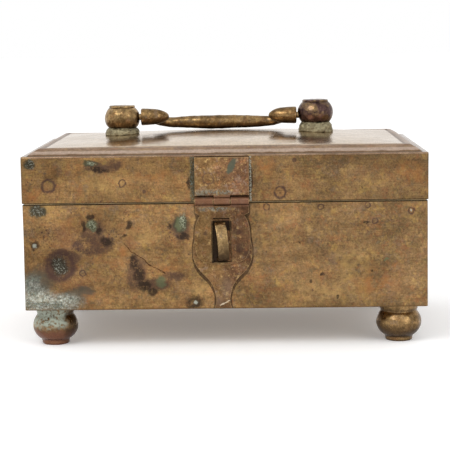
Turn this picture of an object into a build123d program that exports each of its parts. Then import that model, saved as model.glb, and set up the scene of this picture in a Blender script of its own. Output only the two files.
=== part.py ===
"""Footed brass spice box (masala dabba) with a hinged, hasped lid and a folding bail handle.

Millimetres, +Z up, front towards -Y. The origin is on the ground, in the middle of the
whole object's footprint, so the box's own middle is a little behind it: the staple at the
front stands out further than the hinges at the rear. Every loose, riveted or soldered
piece is a solid of its own, and all of them are drawn with the lid shut, the hasp down
over its staple and the handle folded back on the lid.
"""

import os
from math import asin, cos, radians, sin

from build123d import *

os.makedirs("parts", exist_ok=True)

# ---------------------------------------------------------------- driving sizes
# Box
BOX_WIDTH = 300.0  # over the lid
BOX_DEPTH = 200.0  # over the lid
BODY_HEIGHT = 79.0  # walls, from their lower to their upper edge
LID_HEIGHT = 34.8  # lid's straight sides with the top sheet
FOOT_HEIGHT = 28.5
SHEET = 1.5  # brass of the walls
TOP_SHEET = 1.2  # brass of the lid's top
FLOOR_SHEET = 1.4
SEAM_GAP = 0.8  # between the body's and the lid's edges
LID_OVERHANG = 0.5  # the lid stands this far outside the body
CORNER_RADIUS = 1.8  # upright corners

# Lid top: a flat ledge, a convex moulding, a crease and a domed panel
LEDGE_WIDTH = 4.5
CREASE_INSET = 16.0
MOULDING_RISE = 5.2
DOME_RISE = 6.0

# Rim strip soldered inside the body, which guides the lid
RIM_SHEET = 1.0
RIM_STANDS_UP = 5.0

# Feet
FOOT_RADIUS = 17.0
FOOT_INSET_X = 20.3
FOOT_INSET_Y = 22.0
FOOT_RIVET_RADIUS = 2.5
FOOT_RIVET_HEAD = 1.6

# Handle
HANDLE_X = -5.5  # middle of the handle, which was fitted a little to the left
POST_SPACING = 153.0
POST_RADIUS = 14.0
POST_BODY = 15.8  # height of a post without its collar and cap
PIVOT_ABOVE_LID = 11.7
BAIL_DROP = 21.0  # from the pivots' axis to the middle of the bar
BAR_RADIUS = 5.6  # thickest, in the middle
ARM_RADIUS = 3.7  # thinnest, where the bail meets the buds
BAIL_CORNER = 14.0
ARM_START = 1.0  # the arms begin this far from the pivots' axis, inside the buds
BAIL_IN_BUD = 10.5  # from a bud's flat end to the middle of the bail's arm
BUD_RADIUS = 6.65
BUD_LENGTH = 22.0
BUD_GAP = 1.0  # between a bud's flat end and its post
PIVOT_RADIUS = 2.5
PIN_IN_POST = 9.0  # how far a pivot pin reaches into its post
PIN_IN_BUD = 12.0
PIN_END_GAP = 0.6  # between the pin's end and the bottom of its hole
CAP_HEIGHT = 1.8
COLLAR_HEIGHTS = {"left": 3.4, "right": 6.2}  # above the lid's crest, built up by hand
STUD_RADIUS = 2.5
STUD_BELOW_CREASE = 3.5
STUD_BELOW_PIN = 1.0
WASHER_GAP = 1.0  # from the stud's lower end up to the washer

# Hasp
HASP_X = -2.0
HASP_HALF_WIDTH = 20.0
HASP_SHEET = 1.6
HASP_AXIS_ABOVE_SEAM = 0.9
ESCUTCHEON_SHEET = 1.0
LEAF_BELOW_LEDGE = 1.8
LEAF_BARREL_HALF = 6.05  # the leaf's barrel, between the strap's two
STAPLE_X = -3.1
STAPLE_HALF_WIDTH = 4.0
STAPLE_STOCK = 2.5
STAPLE_REACH = 11.0  # in front of the lid's face, before it is turned
STAPLE_LEG = 4.0  # straight part of the legs, in front of the lid's face
STAPLE_CLENCH = 4.0  # tails bent up and down inside the wall
STAPLE_TAIL = 2.0  # thickness of the hammered tails
STAPLE_LEAN = 5.0  # degrees, its foot leans to the right
STAPLE_TURN = 9.0  # degrees, its outer side is bent to the right
SLOT_LEFT = 7.0  # the strap's slot, from the hasp's middle line
SLOT_RIGHT_TOP = 5.2
SLOT_RIGHT_FOOT = 6.6

# Hinge barrels, the same at the hasp and at the rear
BARREL_RADIUS = 3.0
BARREL_GAP = 0.4  # between a barrel and the lid's face
PIN_RADIUS = 1.3
REAR_HINGE_X = 88.0
HINGE_HALF_WIDTH = 16.0
HINGE_LEAF_HEIGHT = 24.0
LEAF_SHEET = 1.5
PIN_OVERHANG = 0.6  # past each end of a hinge
RIVET_RADIUS = 1.6
RIVET_HEAD = 1.3
RIVET_TAIL = 0.8

# Fits
RUNNING_FIT = 0.08  # radial, where a pin turns
CLEARANCE = 0.35  # between pieces that move past each other

# Cups
CUP_COLUMN_NAMES = ("left", "middle", "right")
CUP_ROW_NAMES = ("front", "rear")
CUP_WALL = 1.0
CUP_SPACING = 6.0  # between neighbouring rims
CUP_LIFT = 0.4  # foot of a cup above the bottom plate

# ---------------------------------------------------------------- levels and faces
BARREL_STAND_OFF = BARREL_RADIUS + BARREL_GAP  # hinge axes, from the lid's face
BODY_TOP = FOOT_HEIGHT + BODY_HEIGHT
LID_BOTTOM = BODY_TOP + SEAM_GAP
LEDGE_Z = LID_BOTTOM + LID_HEIGHT
CREASE_Z = LEDGE_Z + MOULDING_RISE
CREST_Z = CREASE_Z + DOME_RISE
FLOOR_Z = FOOT_HEIGHT + FLOOR_SHEET
PIVOT_Z = CREST_Z + PIVOT_ABOVE_LID

HINGE_REACH = BARREL_STAND_OFF + BARREL_RADIUS
TURN = radians(STAPLE_TURN)
STAPLE_FRONT = STAPLE_REACH * cos(TURN) + STAPLE_HALF_WIDTH * sin(TURN)
MIDDLE_Y = (STAPLE_FRONT - HINGE_REACH) / 2
FRONT_Y = MIDDLE_Y - BOX_DEPTH / 2
REAR_Y = MIDDLE_Y + BOX_DEPTH / 2

BODY_WIDTH = BOX_WIDTH - 2 * LID_OVERHANG
BODY_DEPTH = BOX_DEPTH - 2 * LID_OVERHANG
INNER_WIDTH = BODY_WIDTH - 2 * SHEET
INNER_DEPTH = BODY_DEPTH - 2 * SHEET

REAR_AXIS_Z = (BODY_TOP + LID_BOTTOM) / 2
REAR_AXIS_Y = REAR_Y + BARREL_STAND_OFF
HASP_AXIS_Z = LID_BOTTOM + HASP_AXIS_ABOVE_SEAM
HASP_AXIS_Y = FRONT_Y - BARREL_STAND_OFF


def save(piece, label):
    """Name a finished piece and write it out."""
    piece.label = label
    export_step(piece, f"parts/{label}.step")


def down(share):
    """Height of a point on the body's front, as a share of the walls below their upper edge."""
    return BODY_TOP - share * BODY_HEIGHT


def across(y):
    """Upright plane at this depth, facing the rear: sketch x is +X, sketch y is +Z."""
    return Plane(origin=(0, y, 0), x_dir=(1, 0, 0), z_dir=(0, -1, 0))


# ---------------------------------------------------------------- rivets and clenched staple
# They come first because the pieces that they hold are drilled with them.
def wall_rivets(places, inner_y, outer_y):
    """Rivets through a wall and a leaf: flat tails on the inside, domed heads outside."""
    grip = abs(outer_y - inner_y)
    with BuildPart() as rivets:
        for x, z in places:
            with BuildSketch(Plane(origin=(x, inner_y, z), x_dir=(1, 0, 0), z_dir=(0, 0, 1))):
                with BuildLine():
                    Polyline(
                        (0, grip + RIVET_HEAD),
                        (0, -RIVET_TAIL),
                        (RIVET_RADIUS * 1.6, -RIVET_TAIL),
                        (RIVET_RADIUS * 1.6, 0),
                        (RIVET_RADIUS, 0),
                        (RIVET_RADIUS, grip),
                        (RIVET_RADIUS * 2, grip),
                    )
                    TangentArc(
                        (0, grip + RIVET_HEAD), (RIVET_RADIUS * 2, grip), tangent=(1, 0)
                    )
                make_face()
            revolve(axis=Axis((x, inner_y, z), (0, 1, 0)))
    return rivets.part


RIVET_SPREAD = HINGE_HALF_WIDTH * 0.6
rivet_xs = [
    side * REAR_HINGE_X + step
    for side in (-1, 1)
    for step in (-RIVET_SPREAD, RIVET_SPREAD)
]
body_hinge_rivets = wall_rivets(
    [(x, down(0.2)) for x in rivet_xs],
    REAR_Y - LID_OVERHANG - SHEET,
    REAR_Y - LID_OVERHANG + LEAF_SHEET,
)
lid_hinge_rivets = wall_rivets(
    [(x, LID_BOTTOM + HINGE_LEAF_HEIGHT * 0.62) for x in rivet_xs],
    REAR_Y - SHEET,
    REAR_Y + LEAF_SHEET,
)

foot_places = [
    (side_x * (BOX_WIDTH / 2 - FOOT_INSET_X), MIDDLE_Y + side_y * (BOX_DEPTH / 2 - FOOT_INSET_Y))
    for side_y in (-1, 1)
    for side_x in (-1, 1)
]
with BuildPart() as foot_rivets:
    for x, y in foot_places:
        with BuildSketch(Plane(origin=(x, y, FLOOR_Z), x_dir=(1, 0, 0), z_dir=(0, -1, 0))):
            with BuildLine():
                Polyline(
                    (0, FOOT_RIVET_HEAD),
                    (0, -FOOT_HEIGHT * 0.5),
                    (FOOT_RIVET_RADIUS, -FOOT_HEIGHT * 0.5),
                    (FOOT_RIVET_RADIUS, 0),
                    (FOOT_RIVET_RADIUS * 1.9, 0),
                )
                TangentArc(
                    (0, FOOT_RIVET_HEAD), (FOOT_RIVET_RADIUS * 1.9, 0), tangent=(1, 0)
                )
            make_face()
        revolve(axis=Axis((x, y, 0), (0, 0, 1)))

# Staple: one strip bent to a D, its legs through the wall and clenched up and down inside.
# In the sketch x is the reach in front of the lid's face.
STAPLE_TOP = down(0.178)
STAPLE_FOOT = down(0.538)
STAPLE_MIDDLE = (STAPLE_TOP + STAPLE_FOOT) / 2
with BuildPart() as hasp_staple:
    with BuildSketch(Plane(origin=(STAPLE_X, FRONT_Y, 0), x_dir=(0, -1, 0), z_dir=(-1, 0, 0))):
        wall_inside = -(LID_OVERHANG + SHEET)
        tail_inside = wall_inside - STAPLE_TAIL
        inner_top = STAPLE_TOP - STAPLE_STOCK
        inner_foot = STAPLE_FOOT + STAPLE_STOCK
        with BuildLine():
            Polyline(
                (STAPLE_LEG, STAPLE_FOOT),
                (wall_inside, STAPLE_FOOT),
                (wall_inside, STAPLE_FOOT - STAPLE_CLENCH),
                (tail_inside, STAPLE_FOOT - STAPLE_CLENCH),
                (tail_inside, inner_foot),
                (STAPLE_LEG, inner_foot),
            )
            ThreePointArc(
                (STAPLE_LEG, inner_foot),
                (STAPLE_REACH - STAPLE_STOCK, STAPLE_MIDDLE),
                (STAPLE_LEG, inner_top),
            )
            Polyline(
                (STAPLE_LEG, inner_top),
                (tail_inside, inner_top),
                (tail_inside, STAPLE_TOP + STAPLE_CLENCH),
                (wall_inside, STAPLE_TOP + STAPLE_CLENCH),
                (wall_inside, STAPLE_TOP),
                (STAPLE_LEG, STAPLE_TOP),
            )
            ThreePointArc(
                (STAPLE_LEG, STAPLE_TOP),
                (STAPLE_REACH, STAPLE_MIDDLE),
                (STAPLE_LEG, STAPLE_FOOT),
            )
        make_face()
    extrude(amount=STAPLE_HALF_WIDTH, both=True)
staple_place = (STAPLE_X, FRONT_Y, STAPLE_MIDDLE)
staple = hasp_staple.part.rotate(Axis(staple_place, (0, 0, 1)), STAPLE_TURN)
staple = staple.rotate(Axis(staple_place, (0, 1, 0)), -STAPLE_LEAN)

# ---------------------------------------------------------------- body
with BuildPart() as body_walls:
    with BuildSketch(Plane.XY.offset(FOOT_HEIGHT)):
        with Locations((0, MIDDLE_Y)):
            RectangleRounded(BODY_WIDTH, BODY_DEPTH, CORNER_RADIUS)
            Rectangle(INNER_WIDTH, INNER_DEPTH, mode=Mode.SUBTRACT)
    extrude(amount=BODY_HEIGHT)
    add(body_hinge_rivets, mode=Mode.SUBTRACT)
    add(staple, mode=Mode.SUBTRACT)

with BuildPart() as bottom_plate:
    with BuildSketch(Plane.XY.offset(FOOT_HEIGHT)):
        with Locations((0, MIDDLE_Y)):
            Rectangle(INNER_WIDTH, INNER_DEPTH)
    extrude(amount=FLOOR_SHEET)
    add(foot_rivets.part, mode=Mode.SUBTRACT)

RIM_DEPTH = 0.095 * BODY_HEIGHT  # how far the strip reaches down inside the body
with BuildPart() as rim_strip:
    with BuildSketch(Plane.XY.offset(BODY_TOP - RIM_DEPTH)):
        with Locations((0, MIDDLE_Y)):
            Rectangle(INNER_WIDTH, INNER_DEPTH)
            Rectangle(INNER_WIDTH - 2 * RIM_SHEET, INNER_DEPTH - 2 * RIM_SHEET, mode=Mode.SUBTRACT)
    extrude(amount=RIM_DEPTH + RIM_STANDS_UP)


def foot(x, y):
    """A turned foot like a small upturned pot: base disc, round belly, neck and collar."""
    with BuildPart() as turned:
        with BuildSketch(Plane(origin=(x, y, 0), x_dir=(1, 0, 0), z_dir=(0, -1, 0))):
            with BuildLine():
                base = Polyline(
                    (0, FOOT_HEIGHT),
                    (0, 0),
                    (FOOT_RADIUS * 0.56, 0),
                    (FOOT_RADIUS * 0.60, FOOT_HEIGHT * 0.02),
                    (FOOT_RADIUS * 0.61, FOOT_HEIGHT * 0.13),
                )
                belly = Spline(
                    base @ 1,
                    (FOOT_RADIUS * 0.90, FOOT_HEIGHT * 0.29),
                    (FOOT_RADIUS * 1.00, FOOT_HEIGHT * 0.50),
                    (FOOT_RADIUS * 0.93, FOOT_HEIGHT * 0.67),
                    (FOOT_RADIUS * 0.79, FOOT_HEIGHT * 0.80),
                )
                Polyline(
                    belly @ 1,
                    (FOOT_RADIUS * 0.84, FOOT_HEIGHT * 0.86),
                    (FOOT_RADIUS * 0.84, FOOT_HEIGHT),
                    (0, FOOT_HEIGHT),
                )
            make_face()
        revolve(axis=Axis((x, y, 0), (0, 0, 1)))
        add(foot_rivets.part, mode=Mode.SUBTRACT)
    return turned.part


# Escutcheon: a spade-shaped plate. Half widths are shares of the hasp's own half width, and
# heights are shares of the body's walls below their upper edge.
ESCUTCHEON_OUTLINE = [
    (0.725, 0.146),
    (0.925, 0.222),
    (1.020, 0.323),
    (1.100, 0.437),
    (1.080, 0.525),
    (1.005, 0.578),
    (0.795, 0.652),
    (0.510, 0.728),
    (0.360, 0.794),
    (0.295, 0.852),
    (0.260, 0.911),
    (0.330, 0.990),
]


def outline_sides(outline):
    """Right and left points of an outline about the hasp's middle line."""
    right = [(HASP_X + half * HASP_HALF_WIDTH, down(share)) for half, share in outline]
    left = [(HASP_X - half * HASP_HALF_WIDTH, down(share)) for half, share in outline]
    return right, left


body_front_y = FRONT_Y + LID_OVERHANG
with BuildPart() as hasp_escutcheon:
    with BuildSketch(across(body_front_y)):
        right, left = outline_sides(ESCUTCHEON_OUTLINE)
        with BuildLine():
            Line(left[0], right[0])
            Spline(*right)
            Line(right[-1], left[-1])
            Spline(*left)
        make_face()
    extrude(amount=ESCUTCHEON_SHEET)
    add(staple, mode=Mode.SUBTRACT)


# ---------------------------------------------------------------- rear hinges
def tube_piece(x_from, x_to, axis_y, axis_z, bore):
    """One barrel of a hinge, along X."""
    with BuildPart() as barrel:
        with BuildSketch(Plane(origin=(x_from, axis_y, axis_z), x_dir=(0, 1, 0), z_dir=(1, 0, 0))):
            Circle(BARREL_RADIUS)
            Circle(bore, mode=Mode.SUBTRACT)
        extrude(amount=x_to - x_from)
    return barrel.part


def slab(x_from, x_to, y_from, y_to, z_from, z_to):
    """A flat plate between these limits."""
    with BuildPart() as plate:
        with Locations(((x_from + x_to) / 2, (y_from + y_to) / 2, (z_from + z_to) / 2)):
            Box(x_to - x_from, abs(y_to - y_from), z_to - z_from)
    return plate.part


MIDDLE_BARREL = HINGE_HALF_WIDTH * 0.36  # half length of the barrel in the middle


def body_leaf(x):
    """Leaf on the body's rear wall, with the two outer barrels."""
    face_y = REAR_Y - LID_OVERHANG
    shoulder_z = REAR_AXIS_Z - BARREL_RADIUS - CLEARANCE
    with BuildPart() as leaf:
        add(
            slab(
                x - HINGE_HALF_WIDTH,
                x + HINGE_HALF_WIDTH,
                face_y,
                face_y + LEAF_SHEET,
                shoulder_z - HINGE_LEAF_HEIGHT,
                shoulder_z,
            )
        )
        for end in (-1, 1):
            near, far = sorted((x + end * (MIDDLE_BARREL + CLEARANCE), x + end * HINGE_HALF_WIDTH))
            add(tube_piece(near, far, REAR_AXIS_Y, REAR_AXIS_Z, PIN_RADIUS))
            add(
                slab(
                    near,
                    far,
                    face_y,
                    face_y + LEAF_SHEET,
                    shoulder_z,
                    REAR_AXIS_Z - PIN_RADIUS * 0.7,
                )
            )
        add(body_hinge_rivets, mode=Mode.SUBTRACT)
    return leaf.part


def lid_leaf(x):
    """Leaf on the lid's rear side, with the middle barrel."""
    shoulder_z = REAR_AXIS_Z + BARREL_RADIUS + CLEARANCE
    with BuildPart() as leaf:
        add(
            slab(
                x - HINGE_HALF_WIDTH,
                x + HINGE_HALF_WIDTH,
                REAR_Y,
                REAR_Y + LEAF_SHEET,
                shoulder_z,
                shoulder_z + HINGE_LEAF_HEIGHT * 0.9,
            )
        )
        add(
            slab(
                x - MIDDLE_BARREL,
                x + MIDDLE_BARREL,
                REAR_Y,
                REAR_Y + LEAF_SHEET,
                REAR_AXIS_Z + PIN_RADIUS * 1.1,
                shoulder_z,
            )
        )
        add(
            tube_piece(
                x - MIDDLE_BARREL,
                x + MIDDLE_BARREL,
                REAR_AXIS_Y,
                REAR_AXIS_Z,
                PIN_RADIUS + RUNNING_FIT,
            )
        )
        add(lid_hinge_rivets, mode=Mode.SUBTRACT)
    return leaf.part


with BuildPart() as hinge_pins:
    for side in (-1, 1):
        start = side * REAR_HINGE_X - HINGE_HALF_WIDTH - PIN_OVERHANG
        with BuildSketch(
            Plane(origin=(start, REAR_AXIS_Y, REAR_AXIS_Z), x_dir=(0, 1, 0), z_dir=(1, 0, 0))
        ):
            Circle(PIN_RADIUS)
        extrude(amount=2 * (HINGE_HALF_WIDTH + PIN_OVERHANG))

# ---------------------------------------------------------------- lid
with BuildPart() as lid_band:
    with BuildSketch(Plane.XY.offset(LID_BOTTOM)):
        with Locations((0, MIDDLE_Y)):
            RectangleRounded(BOX_WIDTH, BOX_DEPTH, CORNER_RADIUS)
            Rectangle(BOX_WIDTH - 2 * SHEET, BOX_DEPTH - 2 * SHEET, mode=Mode.SUBTRACT)
    extrude(amount=LID_HEIGHT - TOP_SHEET)
    add(lid_hinge_rivets, mode=Mode.SUBTRACT)


def moulded_block(drop, skirt):
    """Solid under the lid's moulding and dome, lowered by drop and with sides as deep as skirt.

    Across and along, the same rise from ledge to crease is cut and the two are crossed, so
    it mitres at the corners. The domed panel is one smooth surface on the flat in the middle.
    """
    base_z = LEDGE_Z - drop - skirt
    ledge_z = LEDGE_Z - drop
    crease_z = CREASE_Z - drop
    across_faces = (
        (BOX_WIDTH / 2 - drop, BOX_DEPTH, across(MIDDLE_Y)),
        (
            BOX_DEPTH / 2 - drop,
            BOX_WIDTH,
            Plane(origin=(0, MIDDLE_Y, 0), x_dir=(0, 1, 0), z_dir=(1, 0, 0)),
        ),
    )
    with BuildPart() as block:
        for order, (half, length, plane) in enumerate(across_faces):
            ledge = LEDGE_WIDTH - drop
            crease = CREASE_INSET - drop
            with BuildSketch(plane):
                with BuildLine():
                    Polyline(
                        (-half + ledge, ledge_z),
                        (-half, ledge_z),
                        (-half, base_z),
                        (half, base_z),
                        (half, ledge_z),
                        (half - ledge, ledge_z),
                    )
                    TangentArc(
                        (half - crease, crease_z),
                        (half - ledge, ledge_z),
                        tangent=(1, 0),
                    )
                    Line((half - crease, crease_z), (-half + crease, crease_z))
                    TangentArc(
                        (-half + crease, crease_z),
                        (-half + ledge, ledge_z),
                        tangent=(-1, 0),
                    )
                make_face()
            extrude(
                amount=length,
                both=True,
                mode=Mode.ADD if order == 0 else Mode.INTERSECT,
            )
        add(dome(crease_z))
    return block.part


def dome(crease_z):
    """The domed panel: a pillow standing on a straight-sided plug that reaches below the crease."""
    half_x = BOX_WIDTH / 2 - CREASE_INSET
    half_y = BOX_DEPTH / 2 - CREASE_INSET
    fullness = (0.0, 1.25, 1.0, 1.25, 0.0)  # a little fuller than a parabola, 1 in the middle
    spans = len(fullness) - 1
    net = [
        [
            (
                half_x * (2 * i / spans - 1),
                MIDDLE_Y + half_y * (2 * j / spans - 1),
                crease_z + DOME_RISE * fullness[i] * fullness[j],
            )
            for j in range(spans + 1)
        ]
        for i in range(spans + 1)
    ]
    top = Face.make_bezier_surface(net)
    floor_z = crease_z - MOULDING_RISE / 2
    low = [(x, y, floor_z) for x, y, _ in (net[0][0], net[-1][0], net[-1][-1], net[0][-1])]
    high = [(x, y, crease_z) for x, y, _ in low]
    faces = [top, Face(Wire.make_polygon(low))]
    for k in range(4):
        n = (k + 1) % 4
        faces.append(Face(Wire.make_polygon([low[k], low[n], high[n], high[k]])))
    return Solid(Shell(faces))


lid_outside = moulded_block(0.0, TOP_SHEET)
lid_inside = moulded_block(TOP_SHEET, TOP_SHEET)  # reaches down past the sheet's lower face
with BuildPart() as lid_top:
    add(lid_outside)
    add(lid_inside, mode=Mode.SUBTRACT)
    corners = [
        edge
        for edge in lid_top.edges().filter_by(Axis.Z)
        if abs(abs(edge.center().X) - BOX_WIDTH / 2) < 0.01
        and abs(abs(edge.center().Y - MIDDLE_Y) - BOX_DEPTH / 2) < 0.01
    ]
    fillet(corners, radius=CORNER_RADIUS)

# ---------------------------------------------------------------- handle posts
POST_XS = {
    "left": HANDLE_X - POST_SPACING / 2,
    "right": HANDLE_X + POST_SPACING / 2,
}
COLLAR_TOPS = {side: CREST_Z + height for side, height in COLLAR_HEIGHTS.items()}
STUD_TOP = PIVOT_Z - PIVOT_RADIUS - STUD_BELOW_PIN
STUD_BOTTOM = CREASE_Z - STUD_BELOW_CREASE


def turned_on_lid(x, profile, smooth):
    """A turned piece that stands on the lid at x: profile is (radius, height) from the bottom."""
    with BuildPart() as turned:
        with BuildSketch(Plane(origin=(x, MIDDLE_Y, 0), x_dir=(1, 0, 0), z_dir=(0, -1, 0))):
            with BuildLine():
                Line((0, profile[-1][1]), (0, profile[0][1]))
                Line((0, profile[0][1]), profile[0])
                if smooth:
                    Spline(*profile)
                else:
                    Polyline(*profile)
                Line(profile[-1], (0, profile[-1][1]))
            make_face()
        revolve(axis=Axis((x, MIDDLE_Y, 0), (0, 0, 1)))
    return turned.part


def stud(x):
    """Stud from under the lid up into a post."""
    profile = [(STUD_RADIUS, STUD_BOTTOM), (STUD_RADIUS, STUD_TOP)]
    return turned_on_lid(x, profile, smooth=False)


def washer(x):
    """Thick washer brazed round the stud against the underside of the lid."""
    with BuildPart() as ring:
        with BuildSketch(Plane.XY.offset(STUD_BOTTOM + WASHER_GAP)):
            with Locations((x, MIDDLE_Y)):
                Circle(STUD_RADIUS * 2.4)
                Circle(STUD_RADIUS, mode=Mode.SUBTRACT)
        extrude(amount=CREST_Z - STUD_BOTTOM)
        add(lid_inside, mode=Mode.INTERSECT)
    return ring.part


def collar(x, top):
    """Flared ring of solder and brass at the foot of a post, fitted to the dome."""
    profile = [
        (POST_RADIUS * 0.98, CREASE_Z),
        (POST_RADIUS * 0.98, CREST_Z),
        (POST_RADIUS * 0.93, CREST_Z + (top - CREST_Z) * 0.55),
        (POST_RADIUS * 0.79, top),
    ]
    with BuildPart() as ring:
        add(turned_on_lid(x, profile, smooth=False))
        add(lid_outside, mode=Mode.SUBTRACT)
        add(stud(x), mode=Mode.SUBTRACT)
    return ring.part


def post(x, foot_z, towards):
    """Turned post like a small water pot; towards is +1 if the handle lies to its right."""
    profile = [
        (POST_RADIUS * 0.78, foot_z),
        (POST_RADIUS * 0.93, foot_z + POST_BODY * 0.18),
        (POST_RADIUS * 1.00, foot_z + POST_BODY * 0.46),
        (POST_RADIUS * 0.93, foot_z + POST_BODY * 0.76),
        (POST_RADIUS * 0.74, foot_z + POST_BODY),
    ]
    hole_depth = PIN_IN_POST + PIN_END_GAP
    with BuildPart() as turned:
        add(turned_on_lid(x, profile, smooth=True))
        add(stud(x), mode=Mode.SUBTRACT)
        with BuildSketch(
            Plane(
                origin=(x + towards * (POST_RADIUS - hole_depth), MIDDLE_Y, PIVOT_Z),
                x_dir=(0, 1, 0),
                z_dir=(towards, 0, 0),
            )
        ):
            Circle(PIVOT_RADIUS + RUNNING_FIT)
        extrude(amount=POST_RADIUS, mode=Mode.SUBTRACT)
    return turned.part


def cap(x, foot_z):
    """Flat cap on top of a post."""
    profile = [
        (POST_RADIUS * 0.73, foot_z),
        (POST_RADIUS * 0.73, foot_z + CAP_HEIGHT * 0.7),
        (POST_RADIUS * 0.69, foot_z + CAP_HEIGHT),
    ]
    return turned_on_lid(x, profile, smooth=False)


with BuildPart() as post_studs:
    for x in POST_XS.values():
        add(stud(x))

with BuildPart() as post_washers:
    for x in POST_XS.values():
        add(washer(x))

with BuildPart() as drilled_lid_top:
    add(lid_top.part)
    add(post_studs.part, mode=Mode.SUBTRACT)

# ---------------------------------------------------------------- folding handle
# The bail lies in a plane through the pivots' axis, tipped back until its bar is on the lid.
BAR_REST_Z = CREST_Z + CLEARANCE + BAR_RADIUS
FOLD = asin((PIVOT_Z - BAR_REST_Z) / BAIL_DROP)
bail_plane = Plane(
    origin=(HANDLE_X, MIDDLE_Y, PIVOT_Z), x_dir=(1, 0, 0), z_dir=(0, sin(FOLD), cos(FOLD))
)
BUD_FACE = POST_SPACING / 2 - POST_RADIUS - BUD_GAP  # flat ends, from the handle's middle
BAIL_HALF_SPAN = BUD_FACE - BAIL_IN_BUD


def bud(side):
    """Bullet-shaped bud on the pivots' axis, blunt tip towards the handle's middle."""
    with BuildPart() as bullet:
        with BuildSketch(
            Plane(
                origin=(HANDLE_X + side * BUD_FACE, MIDDLE_Y, PIVOT_Z),
                x_dir=(-side, 0, 0),
                z_dir=(0, side, 0),
            )
        ):
            with BuildLine():
                back = Polyline(
                    (BUD_LENGTH, 0),
                    (0, 0),
                    (0, BUD_RADIUS * 0.93),
                    (BUD_LENGTH * 0.03, BUD_RADIUS),
                )
                Spline(
                    back @ 1,
                    (BUD_LENGTH * 0.45, BUD_RADIUS * 0.94),
                    (BUD_LENGTH * 0.80, BUD_RADIUS * 0.68),
                    (BUD_LENGTH * 0.95, BUD_RADIUS * 0.36),
                    (BUD_LENGTH, 0),
                    tangents=[(1, 0), (0, -1)],
                )
            make_face()
        revolve(axis=Axis((HANDLE_X, MIDDLE_Y, PIVOT_Z), (1, 0, 0)))
    return bullet.part


with BuildPart() as handle_pins:
    for side in (-1, 1):
        with BuildSketch(
            Plane(
                origin=(HANDLE_X + side * (BUD_FACE - PIN_IN_BUD), MIDDLE_Y, PIVOT_Z),
                x_dir=(0, 1, 0),
                z_dir=(side, 0, 0),
            )
        ):
            Circle(PIVOT_RADIUS)
        extrude(amount=PIN_IN_BUD + BUD_GAP + PIN_IN_POST)

with BuildPart() as handle_bail:
    with BuildLine(bail_plane):
        arm = Line(
            (-BAIL_HALF_SPAN, ARM_START), (-BAIL_HALF_SPAN, BAIL_DROP - BAIL_CORNER)
        )
        corner = TangentArc(
            arm @ 1, (-BAIL_HALF_SPAN + BAIL_CORNER, BAIL_DROP), tangent=arm % 1
        )
        bar = Line(corner @ 1, (BAIL_HALF_SPAN - BAIL_CORNER, BAIL_DROP))
        far_corner = TangentArc(
            bar @ 1, (BAIL_HALF_SPAN, BAIL_DROP - BAIL_CORNER), tangent=bar % 1
        )
        Line(far_corner @ 1, (BAIL_HALF_SPAN, ARM_START))
    path = handle_bail.pending_edges_as_wire
    for share, radius in (
        (0.0, ARM_RADIUS),
        (0.22, ARM_RADIUS * 1.12),
        (0.5, BAR_RADIUS),
        (0.78, ARM_RADIUS * 1.12),
        (1.0, ARM_RADIUS),
    ):
        with BuildSketch(Plane(origin=path @ share, z_dir=path % share)):
            Circle(radius)
    sweep(path=path, multisection=True)
    for side in (-1, 1):
        add(bud(side), mode=Mode.SUBTRACT)


def drilled_bud(side):
    """A bud with its pivot pin's hole."""
    with BuildPart() as drilled:
        add(bud(side))
        add(handle_pins.part, mode=Mode.SUBTRACT)
    return drilled.part


# ---------------------------------------------------------------- hasp on the lid's front
LEAF_TOP = LEDGE_Z - LEAF_BELOW_LEDGE
LEAF_SHOULDER = HASP_AXIS_Z + BARREL_RADIUS + 2 * CLEARANCE
LEAF_BARREL = (HASP_X - LEAF_BARREL_HALF, HASP_X + LEAF_BARREL_HALF)
with BuildPart() as hasp_leaf:
    with BuildSketch(across(FRONT_Y)):
        with BuildLine():
            Polyline(
                (HASP_X - HASP_HALF_WIDTH, LEAF_TOP),
                (HASP_X - HASP_HALF_WIDTH, LEAF_SHOULDER),
                (LEAF_BARREL[0], LEAF_SHOULDER),
                (LEAF_BARREL[0], HASP_AXIS_Z + PIN_RADIUS * 1.1),
                (LEAF_BARREL[1], HASP_AXIS_Z + PIN_RADIUS * 1.1),
                (LEAF_BARREL[1], LEAF_SHOULDER),
                (HASP_X + HASP_HALF_WIDTH, LEAF_SHOULDER),
                (HASP_X + HASP_HALF_WIDTH, LEAF_TOP),
                close=True,
            )
        make_face()
    extrude(amount=LEAF_SHEET)
    add(tube_piece(*LEAF_BARREL, HASP_AXIS_Y, HASP_AXIS_Z, PIN_RADIUS))

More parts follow.
